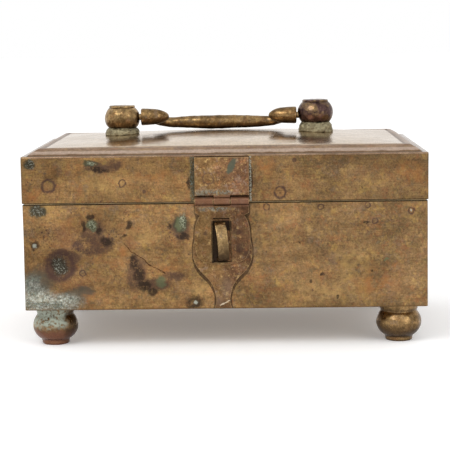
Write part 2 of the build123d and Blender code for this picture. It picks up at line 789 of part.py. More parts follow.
# Strap: a straight band, a notch, then a rounded shield, in the same shares.
SHIELD_OUTLINE = [
    (0.825, 0.114),
    (0.97, 0.190),
    (1.038, 0.323),
    (1.005, 0.436),
    (0.84, 0.525),
    (0.45, 0.566),
]
SHIELD_TOE = 0.580
BAND_FOOT = 0.090
SLOT = (0.139, 0.551)
strap_back_y = body_front_y - ESCUTCHEON_SHEET - CLEARANCE * 1.4
strap_top_z = HASP_AXIS_Z - BARREL_RADIUS - CLEARANCE
with BuildPart() as hasp_strap:
    with BuildSketch(across(strap_back_y)):
        right, left = outline_sides(SHIELD_OUTLINE)
        toe = (HASP_X, down(SHIELD_TOE))
        with BuildLine():
            Polyline(
                left[0],
                (HASP_X - HASP_HALF_WIDTH, down(BAND_FOOT)),
                (HASP_X - HASP_HALF_WIDTH, strap_top_z),
                (HASP_X + HASP_HALF_WIDTH, strap_top_z),
                (HASP_X + HASP_HALF_WIDTH, down(BAND_FOOT)),
                right[0],
            )
            Spline(*right, toe, *reversed(left))
        make_face()
        with BuildLine():
            Polyline(
                (HASP_X - SLOT_LEFT, down(SLOT[0])),
                (HASP_X + SLOT_RIGHT_TOP, down(SLOT[0])),
                (HASP_X + SLOT_RIGHT_FOOT, down(SLOT[1])),
                (HASP_X - SLOT_LEFT, down(SLOT[1])),
                close=True,
            )
        make_face(mode=Mode.SUBTRACT)
    extrude(amount=HASP_SHEET)
    for x_from, x_to in (
        (HASP_X - HASP_HALF_WIDTH, LEAF_BARREL[0] - CLEARANCE),
        (LEAF_BARREL[1] + CLEARANCE, HASP_X + HASP_HALF_WIDTH),
    ):
        add(tube_piece(x_from, x_to, HASP_AXIS_Y, HASP_AXIS_Z, PIN_RADIUS + RUNNING_FIT))
        add(
            slab(
                x_from,
                x_to,
                strap_back_y,
                strap_back_y - HASP_SHEET,
                strap_top_z,
                HASP_AXIS_Z - PIN_RADIUS * 1.4,
            )
        )

with BuildPart() as hasp_pin:
    with BuildSketch(
        Plane(
            origin=(HASP_X - HASP_HALF_WIDTH - PIN_OVERHANG, HASP_AXIS_Y, HASP_AXIS_Z),
            x_dir=(0, 1, 0),
            z_dir=(1, 0, 0),
        )
    ):
        Circle(PIN_RADIUS)
    extrude(amount=2 * (HASP_HALF_WIDTH + PIN_OVERHANG))

# ---------------------------------------------------------------- spice cups
CUP_COLUMNS = len(CUP_COLUMN_NAMES)
CUP_ROWS = len(CUP_ROW_NAMES)
CUP_PITCH_X = (INNER_WIDTH - 2 * RIM_SHEET) / CUP_COLUMNS
CUP_PITCH_Y = (INNER_DEPTH - 2 * RIM_SHEET) / CUP_ROWS
CUP_RADIUS = (min(CUP_PITCH_X, CUP_PITCH_Y) - CUP_SPACING) / 2
CUP_HEIGHT = BODY_HEIGHT * 0.70
CUP_FLOOR_Z = FLOOR_Z + CUP_LIFT


def cup(x, y):
    """A spun cup (katori): flat foot, flared wall and a rolled rim."""
    foot_radius = CUP_RADIUS * 0.62
    wall_top = CUP_FLOOR_Z + CUP_HEIGHT
    with BuildPart() as bowl:
        with BuildSketch(Plane(origin=(x, y, 0), x_dir=(1, 0, 0), z_dir=(0, -1, 0))):
            with BuildLine():
                Polyline(
                    (0, CUP_FLOOR_Z + CUP_WALL), (0, CUP_FLOOR_Z), (foot_radius, CUP_FLOOR_Z)
                )
                outer = Spline(
                    (foot_radius, CUP_FLOOR_Z),
                    (CUP_RADIUS * 0.84, CUP_FLOOR_Z + CUP_HEIGHT * 0.22),
                    (CUP_RADIUS * 0.93, CUP_FLOOR_Z + CUP_HEIGHT * 0.60),
                    (CUP_RADIUS * 0.965, wall_top - CUP_WALL * 1.6),
                )
                Polyline(
                    outer @ 1,
                    (CUP_RADIUS, wall_top - CUP_WALL * 1.1),
                    (CUP_RADIUS, wall_top - CUP_WALL * 0.3),
                    (CUP_RADIUS - CUP_WALL * 0.8, wall_top),
                    (CUP_RADIUS * 0.965 - CUP_WALL, wall_top),
                )
                inner = Spline(
                    (CUP_RADIUS * 0.965 - CUP_WALL, wall_top),
                    (CUP_RADIUS * 0.93 - CUP_WALL, CUP_FLOOR_Z + CUP_HEIGHT * 0.60),
                    (CUP_RADIUS * 0.84 - CUP_WALL, CUP_FLOOR_Z + CUP_HEIGHT * 0.23),
                    (foot_radius - CUP_WALL * 0.7, CUP_FLOOR_Z + CUP_WALL),
                )
                Line(inner @ 1, (0, CUP_FLOOR_Z + CUP_WALL))
            make_face()
        revolve(axis=Axis((x, y, 0), (0, 0, 1)))
    return bowl.part


# ---------------------------------------------------------------- write every piece
save(body_walls.part, "body_walls")
save(bottom_plate.part, "bottom_plate")
save(rim_strip.part, "rim_strip")
foot_names = ("foot_front_left", "foot_front_right", "foot_rear_left", "foot_rear_right")
for name, place in zip(foot_names, foot_places):
    save(foot(*place), name)
save(foot_rivets.part, "foot_rivets")
save(hasp_escutcheon.part, "hasp_escutcheon")
save(staple, "hasp_staple")
for name, side in (("left", -1), ("right", 1)):
    save(body_leaf(side * REAR_HINGE_X), f"hinge_body_leaf_{name}")
    save(lid_leaf(side * REAR_HINGE_X), f"hinge_lid_leaf_{name}")
save(hinge_pins.part, "hinge_pins")
save(body_hinge_rivets, "body_hinge_rivets")
save(lid_hinge_rivets, "lid_hinge_rivets")
save(lid_band.part, "lid_band")
save(drilled_lid_top.part, "lid_top")
for name, side in (("left", -1), ("right", 1)):
    save(collar(POST_XS[name], COLLAR_TOPS[name]), f"post_collar_{name}")
    save(post(POST_XS[name], COLLAR_TOPS[name], -side), f"handle_post_{name}")
    save(cap(POST_XS[name], COLLAR_TOPS[name] + POST_BODY), f"post_cap_{name}")
    save(drilled_bud(side), f"handle_bud_{name}")
save(post_studs.part, "post_studs")
save(post_washers.part, "post_washers")
save(handle_pins.part, "handle_pins")
save(handle_bail.part, "handle_bail")
save(hasp_leaf.part, "hasp_leaf")
save(hasp_strap.part, "hasp_strap")
save(hasp_pin.part, "hasp_pin")
for row, row_name in enumerate(CUP_ROW_NAMES):
    for column, column_name in enumerate(CUP_COLUMN_NAMES):
        cup_x = (column - (CUP_COLUMNS - 1) / 2) * CUP_PITCH_X
        cup_y = MIDDLE_Y + (row - (CUP_ROWS - 1) / 2) * CUP_PITCH_Y
        save(cup(cup_x, cup_y), f"cup_{row_name}_{column_name}")
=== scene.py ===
import math

import bmesh
import bpy
from mathutils import Matrix, Vector, noise


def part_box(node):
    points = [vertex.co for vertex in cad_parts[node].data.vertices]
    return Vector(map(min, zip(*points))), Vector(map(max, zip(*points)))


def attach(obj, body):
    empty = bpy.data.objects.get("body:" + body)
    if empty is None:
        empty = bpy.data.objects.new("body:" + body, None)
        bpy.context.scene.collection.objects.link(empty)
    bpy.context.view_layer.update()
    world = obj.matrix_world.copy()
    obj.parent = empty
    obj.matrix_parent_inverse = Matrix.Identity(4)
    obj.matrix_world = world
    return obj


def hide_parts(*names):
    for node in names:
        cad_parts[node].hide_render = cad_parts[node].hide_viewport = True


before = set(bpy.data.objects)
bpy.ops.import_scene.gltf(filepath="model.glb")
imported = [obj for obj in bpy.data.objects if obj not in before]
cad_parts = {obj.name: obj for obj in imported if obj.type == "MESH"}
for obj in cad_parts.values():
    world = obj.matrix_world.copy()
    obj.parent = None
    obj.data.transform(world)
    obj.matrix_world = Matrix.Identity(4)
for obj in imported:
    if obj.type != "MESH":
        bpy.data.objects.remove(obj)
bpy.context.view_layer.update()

MM = 0.001


def box_mm(node):
    """Lowest and highest corners of a CAD node at rest, in millimetres."""
    low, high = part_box(node)
    return Vector(low) / MM, Vector(high) / MM


BODY_LOW, BODY_HIGH = box_mm("body_walls")
BAND_LOW, BAND_HIGH = box_mm("lid_band")
TOP_LOW, TOP_HIGH = box_mm("lid_top")
MIDDLE_Y = (BAND_LOW.y + BAND_HIGH.y) / 2
HALF_X = BAND_HIGH.x
HALF_Y = BAND_HIGH.y - MIDDLE_Y
FRONT_Y = BAND_LOW.y

SHEET = 1.5
TOP_SHEET = 1.2
LEDGE_WIDTH = 4.5
CREASE_INSET = 16.0
MOULDING_RISE = 5.2
LEDGE_Z = TOP_LOW.z + TOP_SHEET
DOME_RISE = TOP_HIGH.z - LEDGE_Z - MOULDING_RISE
STRAP_FRONT = box_mm("hasp_strap")[0].y
HASP_AXIS_Z = 109.2
HASP_PLATES = ("hasp_leaf", "hasp_strap", "hasp_escutcheon")


# ---------------- shader building
class Shader:
    """One material and short calls that add nodes to it. Coordinates are millimetres at rest."""

    def __init__(self, name):
        self.material = bpy.data.materials.new(name)
        self.material.use_nodes = True
        self.tree = self.material.node_tree
        self.principled = self.tree.nodes["Principled BSDF"]
        coordinates = self.tree.nodes.new("ShaderNodeTexCoord")
        self.place = self.scaled(coordinates.outputs["Object"], 1 / MM)
        self.x, self.y, self.z = self.parts(self.place)
        # Mask of faces turned downwards, for painted shade on undersides.
        self.underside_shade = self.remap(self.parts(coordinates.outputs["Normal"])[2], 0.20, -0.60)
        self.front = self.remap(self.y, FRONT_Y + 3.0, FRONT_Y + 2.0)

    # Plain nodes
    def put(self, socket, value):
        """Link a socket or set a constant."""
        if isinstance(value, bpy.types.NodeSocket):
            self.tree.links.new(value, socket)
        elif isinstance(value, (tuple, list)) and len(value) == 3 and socket.type == "RGBA":
            socket.default_value = (*value, 1.0)
        else:
            socket.default_value = value

    def math(self, operation, first, second=0.0):
        node = self.tree.nodes.new("ShaderNodeMath")
        node.operation = operation
        self.put(node.inputs[0], first)
        self.put(node.inputs[1], second)
        return node.outputs[0]

    def add(self, first, second):
        return self.math("ADD", first, second)

    def minus(self, first, second):
        return self.math("SUBTRACT", first, second)

    def times(self, *factors):
        """Product of numbers or masks."""
        product = factors[0]
        for factor in factors[1:]:
            product = self.math("MULTIPLY", product, factor)
        return product

    def vector(self, operation, first, second=(0, 0, 0)):
        node = self.tree.nodes.new("ShaderNodeVectorMath")
        node.operation = operation
        self.put(node.inputs[0], first)
        self.put(node.inputs[1], second)
        gives_number = operation in ("LENGTH", "DISTANCE", "DOT_PRODUCT")
        return node.outputs["Value" if gives_number else "Vector"]

    def scaled(self, vector, factor):
        """Colour or vector times a single factor."""
        node = self.tree.nodes.new("ShaderNodeVectorMath")
        node.operation = "SCALE"
        self.put(node.inputs[0], vector)
        self.put(node.inputs["Scale"], factor)
        return node.outputs[0]

    def parts(self, vector):
        """The three numbers of a colour or vector."""
        node = self.tree.nodes.new("ShaderNodeSeparateXYZ")
        self.put(node.inputs[0], vector)
        return node.outputs

    def remap(self, value, low, high, to_low=0.0, to_high=1.0):
        """Smooth step of value from low to high."""
        node = self.tree.nodes.new("ShaderNodeMapRange")
        node.interpolation_type = "SMOOTHSTEP"
        self.put(node.inputs["Value"], value)
        node.inputs["From Min"].default_value = low
        node.inputs["From Max"].default_value = high
        node.inputs["To Min"].default_value = to_low
        node.inputs["To Max"].default_value = to_high
        return node.outputs[0]

    def curve(self, value, points):
        """Value looked up on a smooth line through (value, result) points, both from 0 to 1."""
        node = self.tree.nodes.new("ShaderNodeFloatCurve")
        line = node.mapping.curves[0]
        while len(line.points) < len(points):
            line.points.new(0.5, 0.5)
        for point, place in zip(line.points, points):
            point.location = place
        node.mapping.update()
        self.put(node.inputs["Value"], value)
        return node.outputs[0]

    def mix(self, factor, first, second):
        node = self.tree.nodes.new("ShaderNodeMix")
        node.data_type = "RGBA"
        self.put(node.inputs[0], factor)
        self.put(node.inputs[6], first)
        self.put(node.inputs[7], second)
        return node.outputs[2]

    # Textures
    def noise(self, size, detail=4.0, roughness=0.55, stretch=(1, 1, 1), shift=0.0, output="Fac"):
        """Noise whose features are about size millimetres, stretched along the axes."""
        node = self.tree.nodes.new("ShaderNodeTexNoise")
        node.inputs["Scale"].default_value = 1.0
        node.inputs["Detail"].default_value = detail
        node.inputs["Roughness"].default_value = roughness
        per_axis = tuple(1 / (size * factor) for factor in stretch)
        where = self.vector("MULTIPLY", self.place, per_axis)
        self.put(node.inputs["Vector"], self.vector("ADD", where, (shift, shift * 0.7, -shift)))
        return node.outputs[output]

    def drift(self, size, amount, shift=0.0):
        """Smooth wander of amount millimetres in all, about size millimetres across."""
        return self.times(self.minus(self.noise(size, shift=shift), 0.5), amount)

    def clumps(self, size, low, high, rise=(0.0, 1.0), **looks):
        """Mask of ragged clumps: noise about size millimetres across, cut from low to high."""
        return self.remap(self.noise(size, **looks), low, high, *rise)

    def cells(self, size, shift=0.0):
        """Scattered points about size millimetres apart: (distance to the point, its colour)."""
        node = self.tree.nodes.new("ShaderNodeTexVoronoi")
        node.inputs["Scale"].default_value = 1.0
        where = self.vector("MULTIPLY", self.place, (1 / size,) * 3)
        self.put(node.inputs["Vector"], self.vector("ADD", where, (shift, shift, shift)))
        return node.outputs["Distance"], node.outputs["Color"]

    def pits(self, size, share, radius, shift=0.0):
        """Mask of small crisp pits, one in a share of the cells of a scattered grid."""
        distance, tint = self.cells(size, shift=shift)
        reach = self.remap(self.parts(tint)[0], 1 - share, 1.0, 0.0, radius)
        distance = self.add(distance, self.drift(size * 0.3, radius, shift=shift))
        return self.remap(self.minus(reach, distance), -0.02, 0.05)

    def warped(self, amount, size):
        """Place moved about by noise, for ragged edges."""
        colour = self.noise(size, detail=3.0, output="Color")
        push = self.vector("MULTIPLY", self.vector("SUBTRACT", colour, (0.5, 0.5, 0.5)), (amount,) * 3)
        return self.vector("ADD", self.place, push)

    def tooth(self, colour, size, low, high, stretch=(1, 1, 1), shift=0.0):
        """Colour times noise between low and high: the fine tooth and scratches of old metal."""
        level = self.noise(size, roughness=0.7, stretch=stretch, shift=shift)
        return self.scaled(colour, self.remap(level, 0.30, 0.70, low, high))

    # Masks
    def between(self, value, low, high, soft):
        """Mask that is 1 where value lies between low and high, with soft edges."""
        return self.times(self.remap(value, low - soft, low), self.remap(value, high + soft, high))

    def patch(self, x_range, z_range, soft_x, soft_z):
        """Mask of an upright rectangle seen from the front."""
        across = self.between(self.x, *x_range, soft_x)
        return self.times(across, self.between(self.z, *z_range, soft_z))

    def union(self, masks):
        """Highest of some masks."""
        total = masks[0]
        for mask in masks[1:]:
            total = self.math("MAXIMUM", total, mask)
        return total

    def distance_in(self, place, x, z, half_x, half_z):
        """Distance from (x, z) seen from the front, 1 on the edge of an ellipse around it."""
        away = self.vector("SUBTRACT", place, (x, 0.0, z))
        return self.vector("LENGTH", self.vector("MULTIPLY", away, (1 / half_x, 0.0, 1 / half_z)))

    def blots(self, place, blots, soft):
        """Mask of ellipses on the front, each (x, z, half width, half height)."""
        return self.union([self.remap(self.distance_in(place, *blot), 1 + soft, 1 - soft) for blot in blots])

    def rings(self, place, rings, width=0.22):
        """Mask of ring marks on the front, each (x, z, radius)."""
        masks = []
        for x, z, radius in rings:
            off = self.minus(self.distance_in(place, x, z, radius, radius), 1.0)
            masks.append(self.remap(self.math("ABSOLUTE", off), width, 0.0))
        return self.union(masks)

    def line(self, place, points, half_width):
        """Mask of a thin wandering line through these (x, z) points."""
        masks = []
        for (x0, z0), (x1, z1) in zip(points, points[1:]):
            length = math.hypot(x1 - x0, z1 - z0)
            along = ((x1 - x0) / length, 0.0, (z1 - z0) / length)
            start = self.vector("SUBTRACT", place, (x0, 0.0, z0))
            reach = self.math("MAXIMUM", self.vector("DOT_PRODUCT", start, along), 0.0)
            reach = self.math("MINIMUM", reach, length)
            off = self.vector("SUBTRACT", start, self.scaled(along, reach))
            off = self.vector("LENGTH", self.vector("MULTIPLY", off, (1, 0, 1)))
            masks.append(self.remap(off, half_width * 1.6, half_width * 0.5))
        return self.union(masks)

    def bend(self, flat, bent):
        """Mask from how sharply the surface is bent: above 0.5 on edges, below it in hollows."""
        geometry = self.tree.nodes.new("ShaderNodeNewGeometry")
        return self.remap(geometry.outputs["Pointiness"], flat, bent)

    # Colour and surface
    def stain(self, colour, tint, mask, strength=1.0):
        """Colour with a tint laid over it through a mask."""
        return self.mix(self.times(mask, strength), colour, tint)

    def paint(self, colour, tint, mask, strength, broken=1.0):
        """Stain on the front faces only, broken up by a second mask."""
        return self.stain(colour, tint, self.times(mask, strength, broken), self.front)

    def bump(self, height, distance, normal=None):
        """Bump whose height runs from 0 to 1 over distance millimetres."""
        node = self.tree.nodes.new("ShaderNodeBump")
        node.inputs["Distance"].default_value = distance * MM
        node.inputs["Strength"].default_value = 1.0
        self.put(node.inputs["Height"], height)
        if normal is not None:
            self.put(node.inputs["Normal"], normal)
        return node.outputs[0]

    def finish(self, colour, roughness, metallic, normal=None):
        self.put(self.principled.inputs["Base Color"], colour)
        self.put(self.principled.inputs["Roughness"], roughness)
        self.put(self.principled.inputs["Metallic"], metallic)
        if normal is not None:
            self.put(self.principled.inputs["Normal"], normal)
        return self.material


# Colours of old brass, linear
GOLD = (0.345, 0.205, 0.090)
STRAW = (0.43, 0.285, 0.115)
OLIVE = (0.165, 0.115, 0.050)
BROWN = (0.125, 0.070, 0.032)
RED_BROWN = (0.20, 0.090, 0.050)
GREY_BROWN = (0.205, 0.145, 0.105)
PURPLE = (0.085, 0.050, 0.042)
BLACK = (0.030, 0.022, 0.018)
VERDIGRIS = (0.29, 0.31, 0.23)
GREEN = (0.125, 0.140, 0.080)
DEEP_GREEN = (0.055, 0.058, 0.038)
GREY_WHITE = (0.42, 0.44, 0.39)
SLATE = (0.080, 0.076, 0.064)
RUST = (0.36, 0.150, 0.055)
DARK_CORE = (0.060, 0.055, 0.042)
CRACK_RED = (0.045, 0.018, 0.010)
# Black of the painted shadow in the seam.
SEAM_SHADOW_BLACK = (0.012, 0.009, 0.007)
OUTLINE_BROWN = (0.045, 0.028, 0.020)

# Drifts of colour over old brass: tint, size as a share of the mottle, strength, noise shift
DRIFTS = [
    (OLIVE, 0.55, 0.50, -5.3),
    (GREY_BROWN, 0.42, 0.60, 3.3),
    (RUST, 0.50, 0.30, 7.7),
    (STRAW, 0.33, 0.50, 12.1),
    (RED_BROWN, 0.65, 0.35, 17.9),
]

# Clumps of colour on the rolled sheet: tint, size in mm, strength, noise shift
GRAINS = [
    ((0.28, 0.110, 0.050), 11.0, 0.42, 43.0),
    ((0.42, 0.27, 0.085), 9.0, 0.45, 53.0),
    ((0.115, 0.082, 0.052), 7.0, 0.50, 47.0),
    ((0.46, 0.30, 0.11), 4.0, 0.45, 31.0),
    ((0.30, 0.120, 0.055), 3.4, 0.45, 33.0),
    ((0.110, 0.100, 0.060), 5.0, 0.50, 35.0),
    ((0.21, 0.155, 0.115), 3.0, 0.35, 37.0),
    ((0.090, 0.050, 0.036), 2.4, 0.50, 39.0),
]


def old_brass(shader, light, dark, mottle=34.0, shift=0.0):
    """Mottled brass: (colour, mottle). Clouds and drifts of other tints."""
    clouds = shader.noise(mottle, detail=8.0, roughness=0.64, shift=shift)
    small = shader.noise(mottle * 0.2, detail=6.0, roughness=0.68, shift=shift + 3.1)
    amount = shader.add(clouds, shader.times(small, 0.5))
    colour = shader.mix(shader.remap(amount, 0.60, 0.90), light, dark)
    for tint, size, strength, offset in DRIFTS:
        looks = {"detail": 8.0, "roughness": 0.72, "shift": shift + offset}
        colour = shader.stain(colour, tint, shader.clumps(mottle * size, 0.53, 0.66, **looks), strength)
    return colour, amount


def specks(shader, colour, size, strength, shift=0.0):
    """Fine tooth, light and dark, and crisp dark pits."""
    colour = shader.tooth(colour, size, 1 - 0.42 * strength, 1 + 0.36 * strength, shift=shift)
    return shader.stain(colour, PURPLE, shader.pits(size * 2.6, 0.22, 0.22, shift=shift), strength)


def scattered_spots(shader, colour, size=26.0, shift=0.0):
    """Sparse dark spots, some with a pale middle."""
    distance, tint = shader.cells(size, shift=shift)
    pick = shader.vector("DISTANCE", tint, (1.0, 0.2, 0.5))
    edge = shader.minus(shader.remap(pick, 0.55, 0.05, 0.0, 0.13), distance)
    colour = shader.stain(colour, PURPLE, shader.remap(edge, 0.0, 0.02), 0.75)
    return shader.stain(colour, STRAW, shader.remap(edge, 0.06, 0.08), 0.5)


# ---------------- marks on the front
# Places are (x, z, half width, half height) on the front face in millimetres.
HALOS = [
    (-96.5, 85.5, 9.5, 9.0),
    (-90.0, 78.5, 7.0, 6.5),
    (-97.0, 73.5, 7.5, 4.0),
    (-109.0, 76.5, 4.5, 3.5),
    (-120.0, 71.5, 7.5, 2.2),
    (-122.5, 61.0, 11.0, 9.5),
    (-111.0, 68.5, 4.5, 4.0),
    (-52.0, 47.5, 12.0, 4.5),
    (-38.0, 53.0, 8.0, 3.2),
    (-92.5, 134.5, 11.0, 4.2),
    (-80.0, 136.5, 5.5, 4.5),
    (-33.0, 89.0, 7.5, 9.5),
    (-66.0, 56.0, 7.0, 13.0),
]
SCORCHES = [
    (-67.8, 63.5, 3.0, 6.0),
    (-64.5, 55.5, 4.0, 6.0),
    (-60.5, 47.0, 5.0, 4.6),
    (-55.0, 41.5, 4.0, 3.0),
    (-71.0, 91.8, 2.6, 3.6),
    (-73.6, 84.3, 1.9, 1.5),
    (-23.0, 33.6, 6.6, 5.2),
    (-92.0, 133.0, 7.0, 2.2),
    (-99.5, 98.0, 2.4, 2.6),
    (-104.5, 91.0, 1.8, 3.6),
    (-93.5, 88.0, 2.4, 3.0),
    (-88.0, 80.0, 4.4, 3.4),
    (-141.4, 77.6, 3.0, 3.4),
    (-31.5, 82.5, 5.0, 2.2),
    (-41.5, 90.0, 1.4, 2.4),
    (-123.5, 62.0, 6.0, 6.5),
    (63.1, 49.0, 1.6, 1.6),
    (71.8, 53.8, 1.1, 1.0),
    (104.5, 91.8, 2.4, 1.4),
    (83.0, 35.8, 1.2, 1.0),
    (54.0, 76.0, 1.0, 1.0),
    (108.0, 55.5, 1.2, 1.0),
    (-26.0, 122.0, 1.6, 5.0),
]
DEEP_GREENS = [
    (-137.6, 102.4, 6.4, 4.4),
    (-98.0, 137.5, 5.0, 2.6),
    (-144.0, 137.6, 3.6, 3.4),
    (-33.0, 91.5, 5.6, 6.8),
]
GREENS = [
    (-47.9, 49.3, 3.5, 3.9),
    (-98.8, 91.8, 3.6, 4.2),
    (-34.0, 92.0, 2.6, 5.0),
    (118.5, 64.0, 1.6, 1.0),
]
BLOOMS = [(-98.4, 91.6, 2.4, 3.4), (-31.0, 93.5, 2.0, 5.5), (-97.0, 137.4, 2.4, 1.2)]
PALES = [(-141.2, 77.0, 1.4, 1.6), (-22.6, 33.4, 1.6, 1.3), (137.0, 100.2, 0.9, 0.9)]
SPECKLED = [(-122.8, 61.5, 5.0, 6.0), (-137.6, 102.4, 5.6, 3.8), (-143.0, 137.6, 3.2, 3.0)]
PITTED = [
    (-132.0, 88.0, 9.0, 6.5),
    (-104.0, 75.0, 11.0, 6.0),
    (-84.0, 84.0, 7.0, 6.0),
    (-98.0, 95.0, 6.0, 4.0),
    (-40.0, 84.0, 6.0, 6.0),
]
GREY_PATCHES = [(-141.0, 37.0, 13.0, 10.0), (-126.0, 33.5, 16.0, 6.5), (-144.0, 47.0, 7.0, 8.0)]
PATCH_EDGES = [(-113.0, 39.0, 9.0, 5.0), (-138.0, 50.0, 11.0, 10.0), (-104.0, 43.0, 7.0, 3.4)]
WARM_EDGES = [
    (-114.0, 49.0, 9.0, 6.0),
    (-131.0, 58.0, 4.0, 6.0),
    (-70.5, 78.0, 3.5, 7.0),
    (-118.0, 83.0, 9.0, 9.0),
]
RING_MARKS = [  # x, z, radius
    (-129.8, 121.3, 4.6),
    (-75.2, 122.8, 2.6),
    (40.9, 114.8, 4.0),
    (30.8, 104.0, 2.1),
    (137.0, 100.2, 2.2),
    (105.0, 104.4, 1.9),
    (70.6, 103.6, 1.9),
    (-106.0, 56.2, 2.2),
    (110.5, 92.6, 2.0),
    (-122.5, 61.5, 9.8),
]
RUSTS = [
    (125.9, 58.7, 3.0, 2.2),
    (-136.0, 88.0, 7.0, 4.0),
    (37.0, 101.5, 9.0, 2.5),
    (-52.0, 129.0, 11.0, 4.0),
    (-117.0, 94.0, 4.5, 8.0),
    (-142.0, 115.0, 7.0, 5.0),
    (30.0, 134.0, 6.0, 7.0),
    (-76.0, 66.0, 3.0, 10.0),
    (-100.0, 41.0, 12.0, 4.0),
    (-122.0, 74.0, 8.0, 5.0),
    (-45.0, 58.0, 9.0, 4.0),
    (112.0, 47.0, 14.0, 10.0),
    (135.0, 128.0, 9.0, 9.0),
]
YELLOWS = [
    (37.0, 99.0, 8.0, 5.0),
    (28.0, 80.0, 6.0, 5.0),
    (-62.0, 82.0, 10.0, 8.0),
    (-85.0, 122.0, 16.0, 7.0),
    (-128.0, 108.0, 10.0, 3.0),
    (70.0, 40.0, 22.0, 8.0),
    (95.0, 62.0, 12.0, 12.0),
    (-20.0, 46.0, 5.0, 6.0),
]
CRACK = [(-74.5, 78.0), (-70.0, 72.0), (-62.0, 67.5), (-56.0, 61.5), (-49.5, 58.5), (-44.5, 55.5)]

# Marks on the hasp: places as above, rings (x, z, radius), the glint a line of (x, z): a painted highlight
# along a scratch
HASP_FORKS = [(0.5, 44.0, 4.0, 8.0), (-5.0, 35.0, 3.0, 4.0)]
HASP_STREAK = (5.2, 134.5, 2.7, 6.0)
STREAK_LEAN = 0.42
HASP_CRUSTS = [
    (-16.0, 115.0, 6.0, 2.4),
    (-7.0, 115.6, 7.0, 2.0),
    (1.5, 115.2, 4.0, 1.6),
    (-6.0, 103.4, 8.0, 1.6),
    (-15.0, 103.0, 4.0, 1.2),
]
HASP_RINGS = [(-12.0, 125.5, 4.0), (9.5, 125.0, 2.6), (-3.5, 131.0, 2.0)]
HASP_SPOTS = [(-15.0, 85.0, 1.3, 1.3), (9.0, 86.0, 4.0, 2.2), (15.0, 70.5, 1.8, 1.8), (11.0, 74.0, 4.0, 3.0)]
HASP_SCRATCH_GLINT = [(-4.0, 31.5), (2.0, 34.5), (11.0, 36.0)]

# Darkness in the strap's slot: (x from, to), (z from, to), softness in x and in z
SLOT_SHADOWS = [
    ((-9.6, 1.2), (63.5, 93.0), 0.8, 0.6),
    ((-9.6, 4.6), (87.5, 94.0), 0.5, 0.8),
]


# ---------------- the rolled sheet
def half_widths(node, middle, steps):
    """Half widths of a flat node about x = middle at evenly spaced heights: [(z, half)]."""
    low, high = box_mm(node)
    corners = [vertex.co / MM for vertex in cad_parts[node].data.vertices]
    step = (high.z - low.z) / steps
    widths = []
    for k in range(steps + 1):
        level = low.z + step * k
        near = [abs(corner.x - middle) for corner in corners if abs(corner.z - level) < step * 0.8]
        if near:
            widths.append((level, max(near)))
    return widths


def outline_mask(shader, node, wide, soft):
    """Mask of the strip, wide millimetres across, just outside a flat node's outline."""
    box_low, box_high = box_mm(node)
    middle = (box_low.x + box_high.x) / 2
    widths = half_widths(node, middle, steps=16)
    low, high = widths[0][0], widths[-1][0]
    largest = max(half for _, half in widths)
    points = [((level - low) / (high - low), half / largest) for level, half in widths]
    height = shader.math("DIVIDE", shader.minus(shader.z, low), high - low)
    half = shader.times(shader.curve(height, points), largest)
    out = shader.minus(shader.math("ABSOLUTE", shader.minus(shader.x, middle)), half)
    out = shader.add(out, shader.drift(2.5, wide, shift=3.0))
    inside = shader.remap(out, wide + soft, wide)
    return shader.times(inside, shader.between(shader.z, low - wide, high + wide, soft))


def sheet_tarnish(shader, side):
    """Old rolled sheet without marks: (colour, mottle, worm-like pits)."""
    right = shader.remap(side, -90.0, 90.0)
    light = shader.mix(right, GOLD, (0.275, 0.170, 0.082))
    dark = shader.mix(right, (0.215, 0.125, 0.056), (0.175, 0.110, 0.055))
    colour, amount = old_brass(shader, light, dark)
    colour = specks(shader, colour, size=1.3, strength=0.75)
    colour = shader.tooth(colour, 0.9, 0.90, 1.08, stretch=(14, 14, 1), shift=2.0)
    for tint, size, strength, offset in GRAINS:
        grain = shader.clumps(size, 0.54, 0.66, detail=5.0, roughness=0.75, shift=offset)
        colour = shader.stain(colour, tint, grain, strength)
    hairs = shader.clumps(1.1, 0.60, 0.68, detail=2.0, stretch=(22, 22, 1), shift=57.0)
    colour = shader.stain(colour, BROWN, hairs, 0.35)

    lower_left = shader.add(side, shader.times(shader.z, -0.3))
    busy = shader.remap(lower_left, 20.0, -90.0, 0.25, 1.0)
    worms = shader.clumps(1.9, 0.60, 0.66, detail=3.0, roughness=0.6, shift=9.0)
    worms = shader.times(worms, shader.clumps(19.0, 0.50, 0.60, detail=3.0, shift=4.4), busy)
    colour = shader.stain(colour, PURPLE, worms, 0.8)
    colour = shader.stain(colour, PURPLE, shader.pits(9.0, 0.35, 0.10, shift=6.0), 0.85)
    return scattered_spots(shader, colour), amount, worms


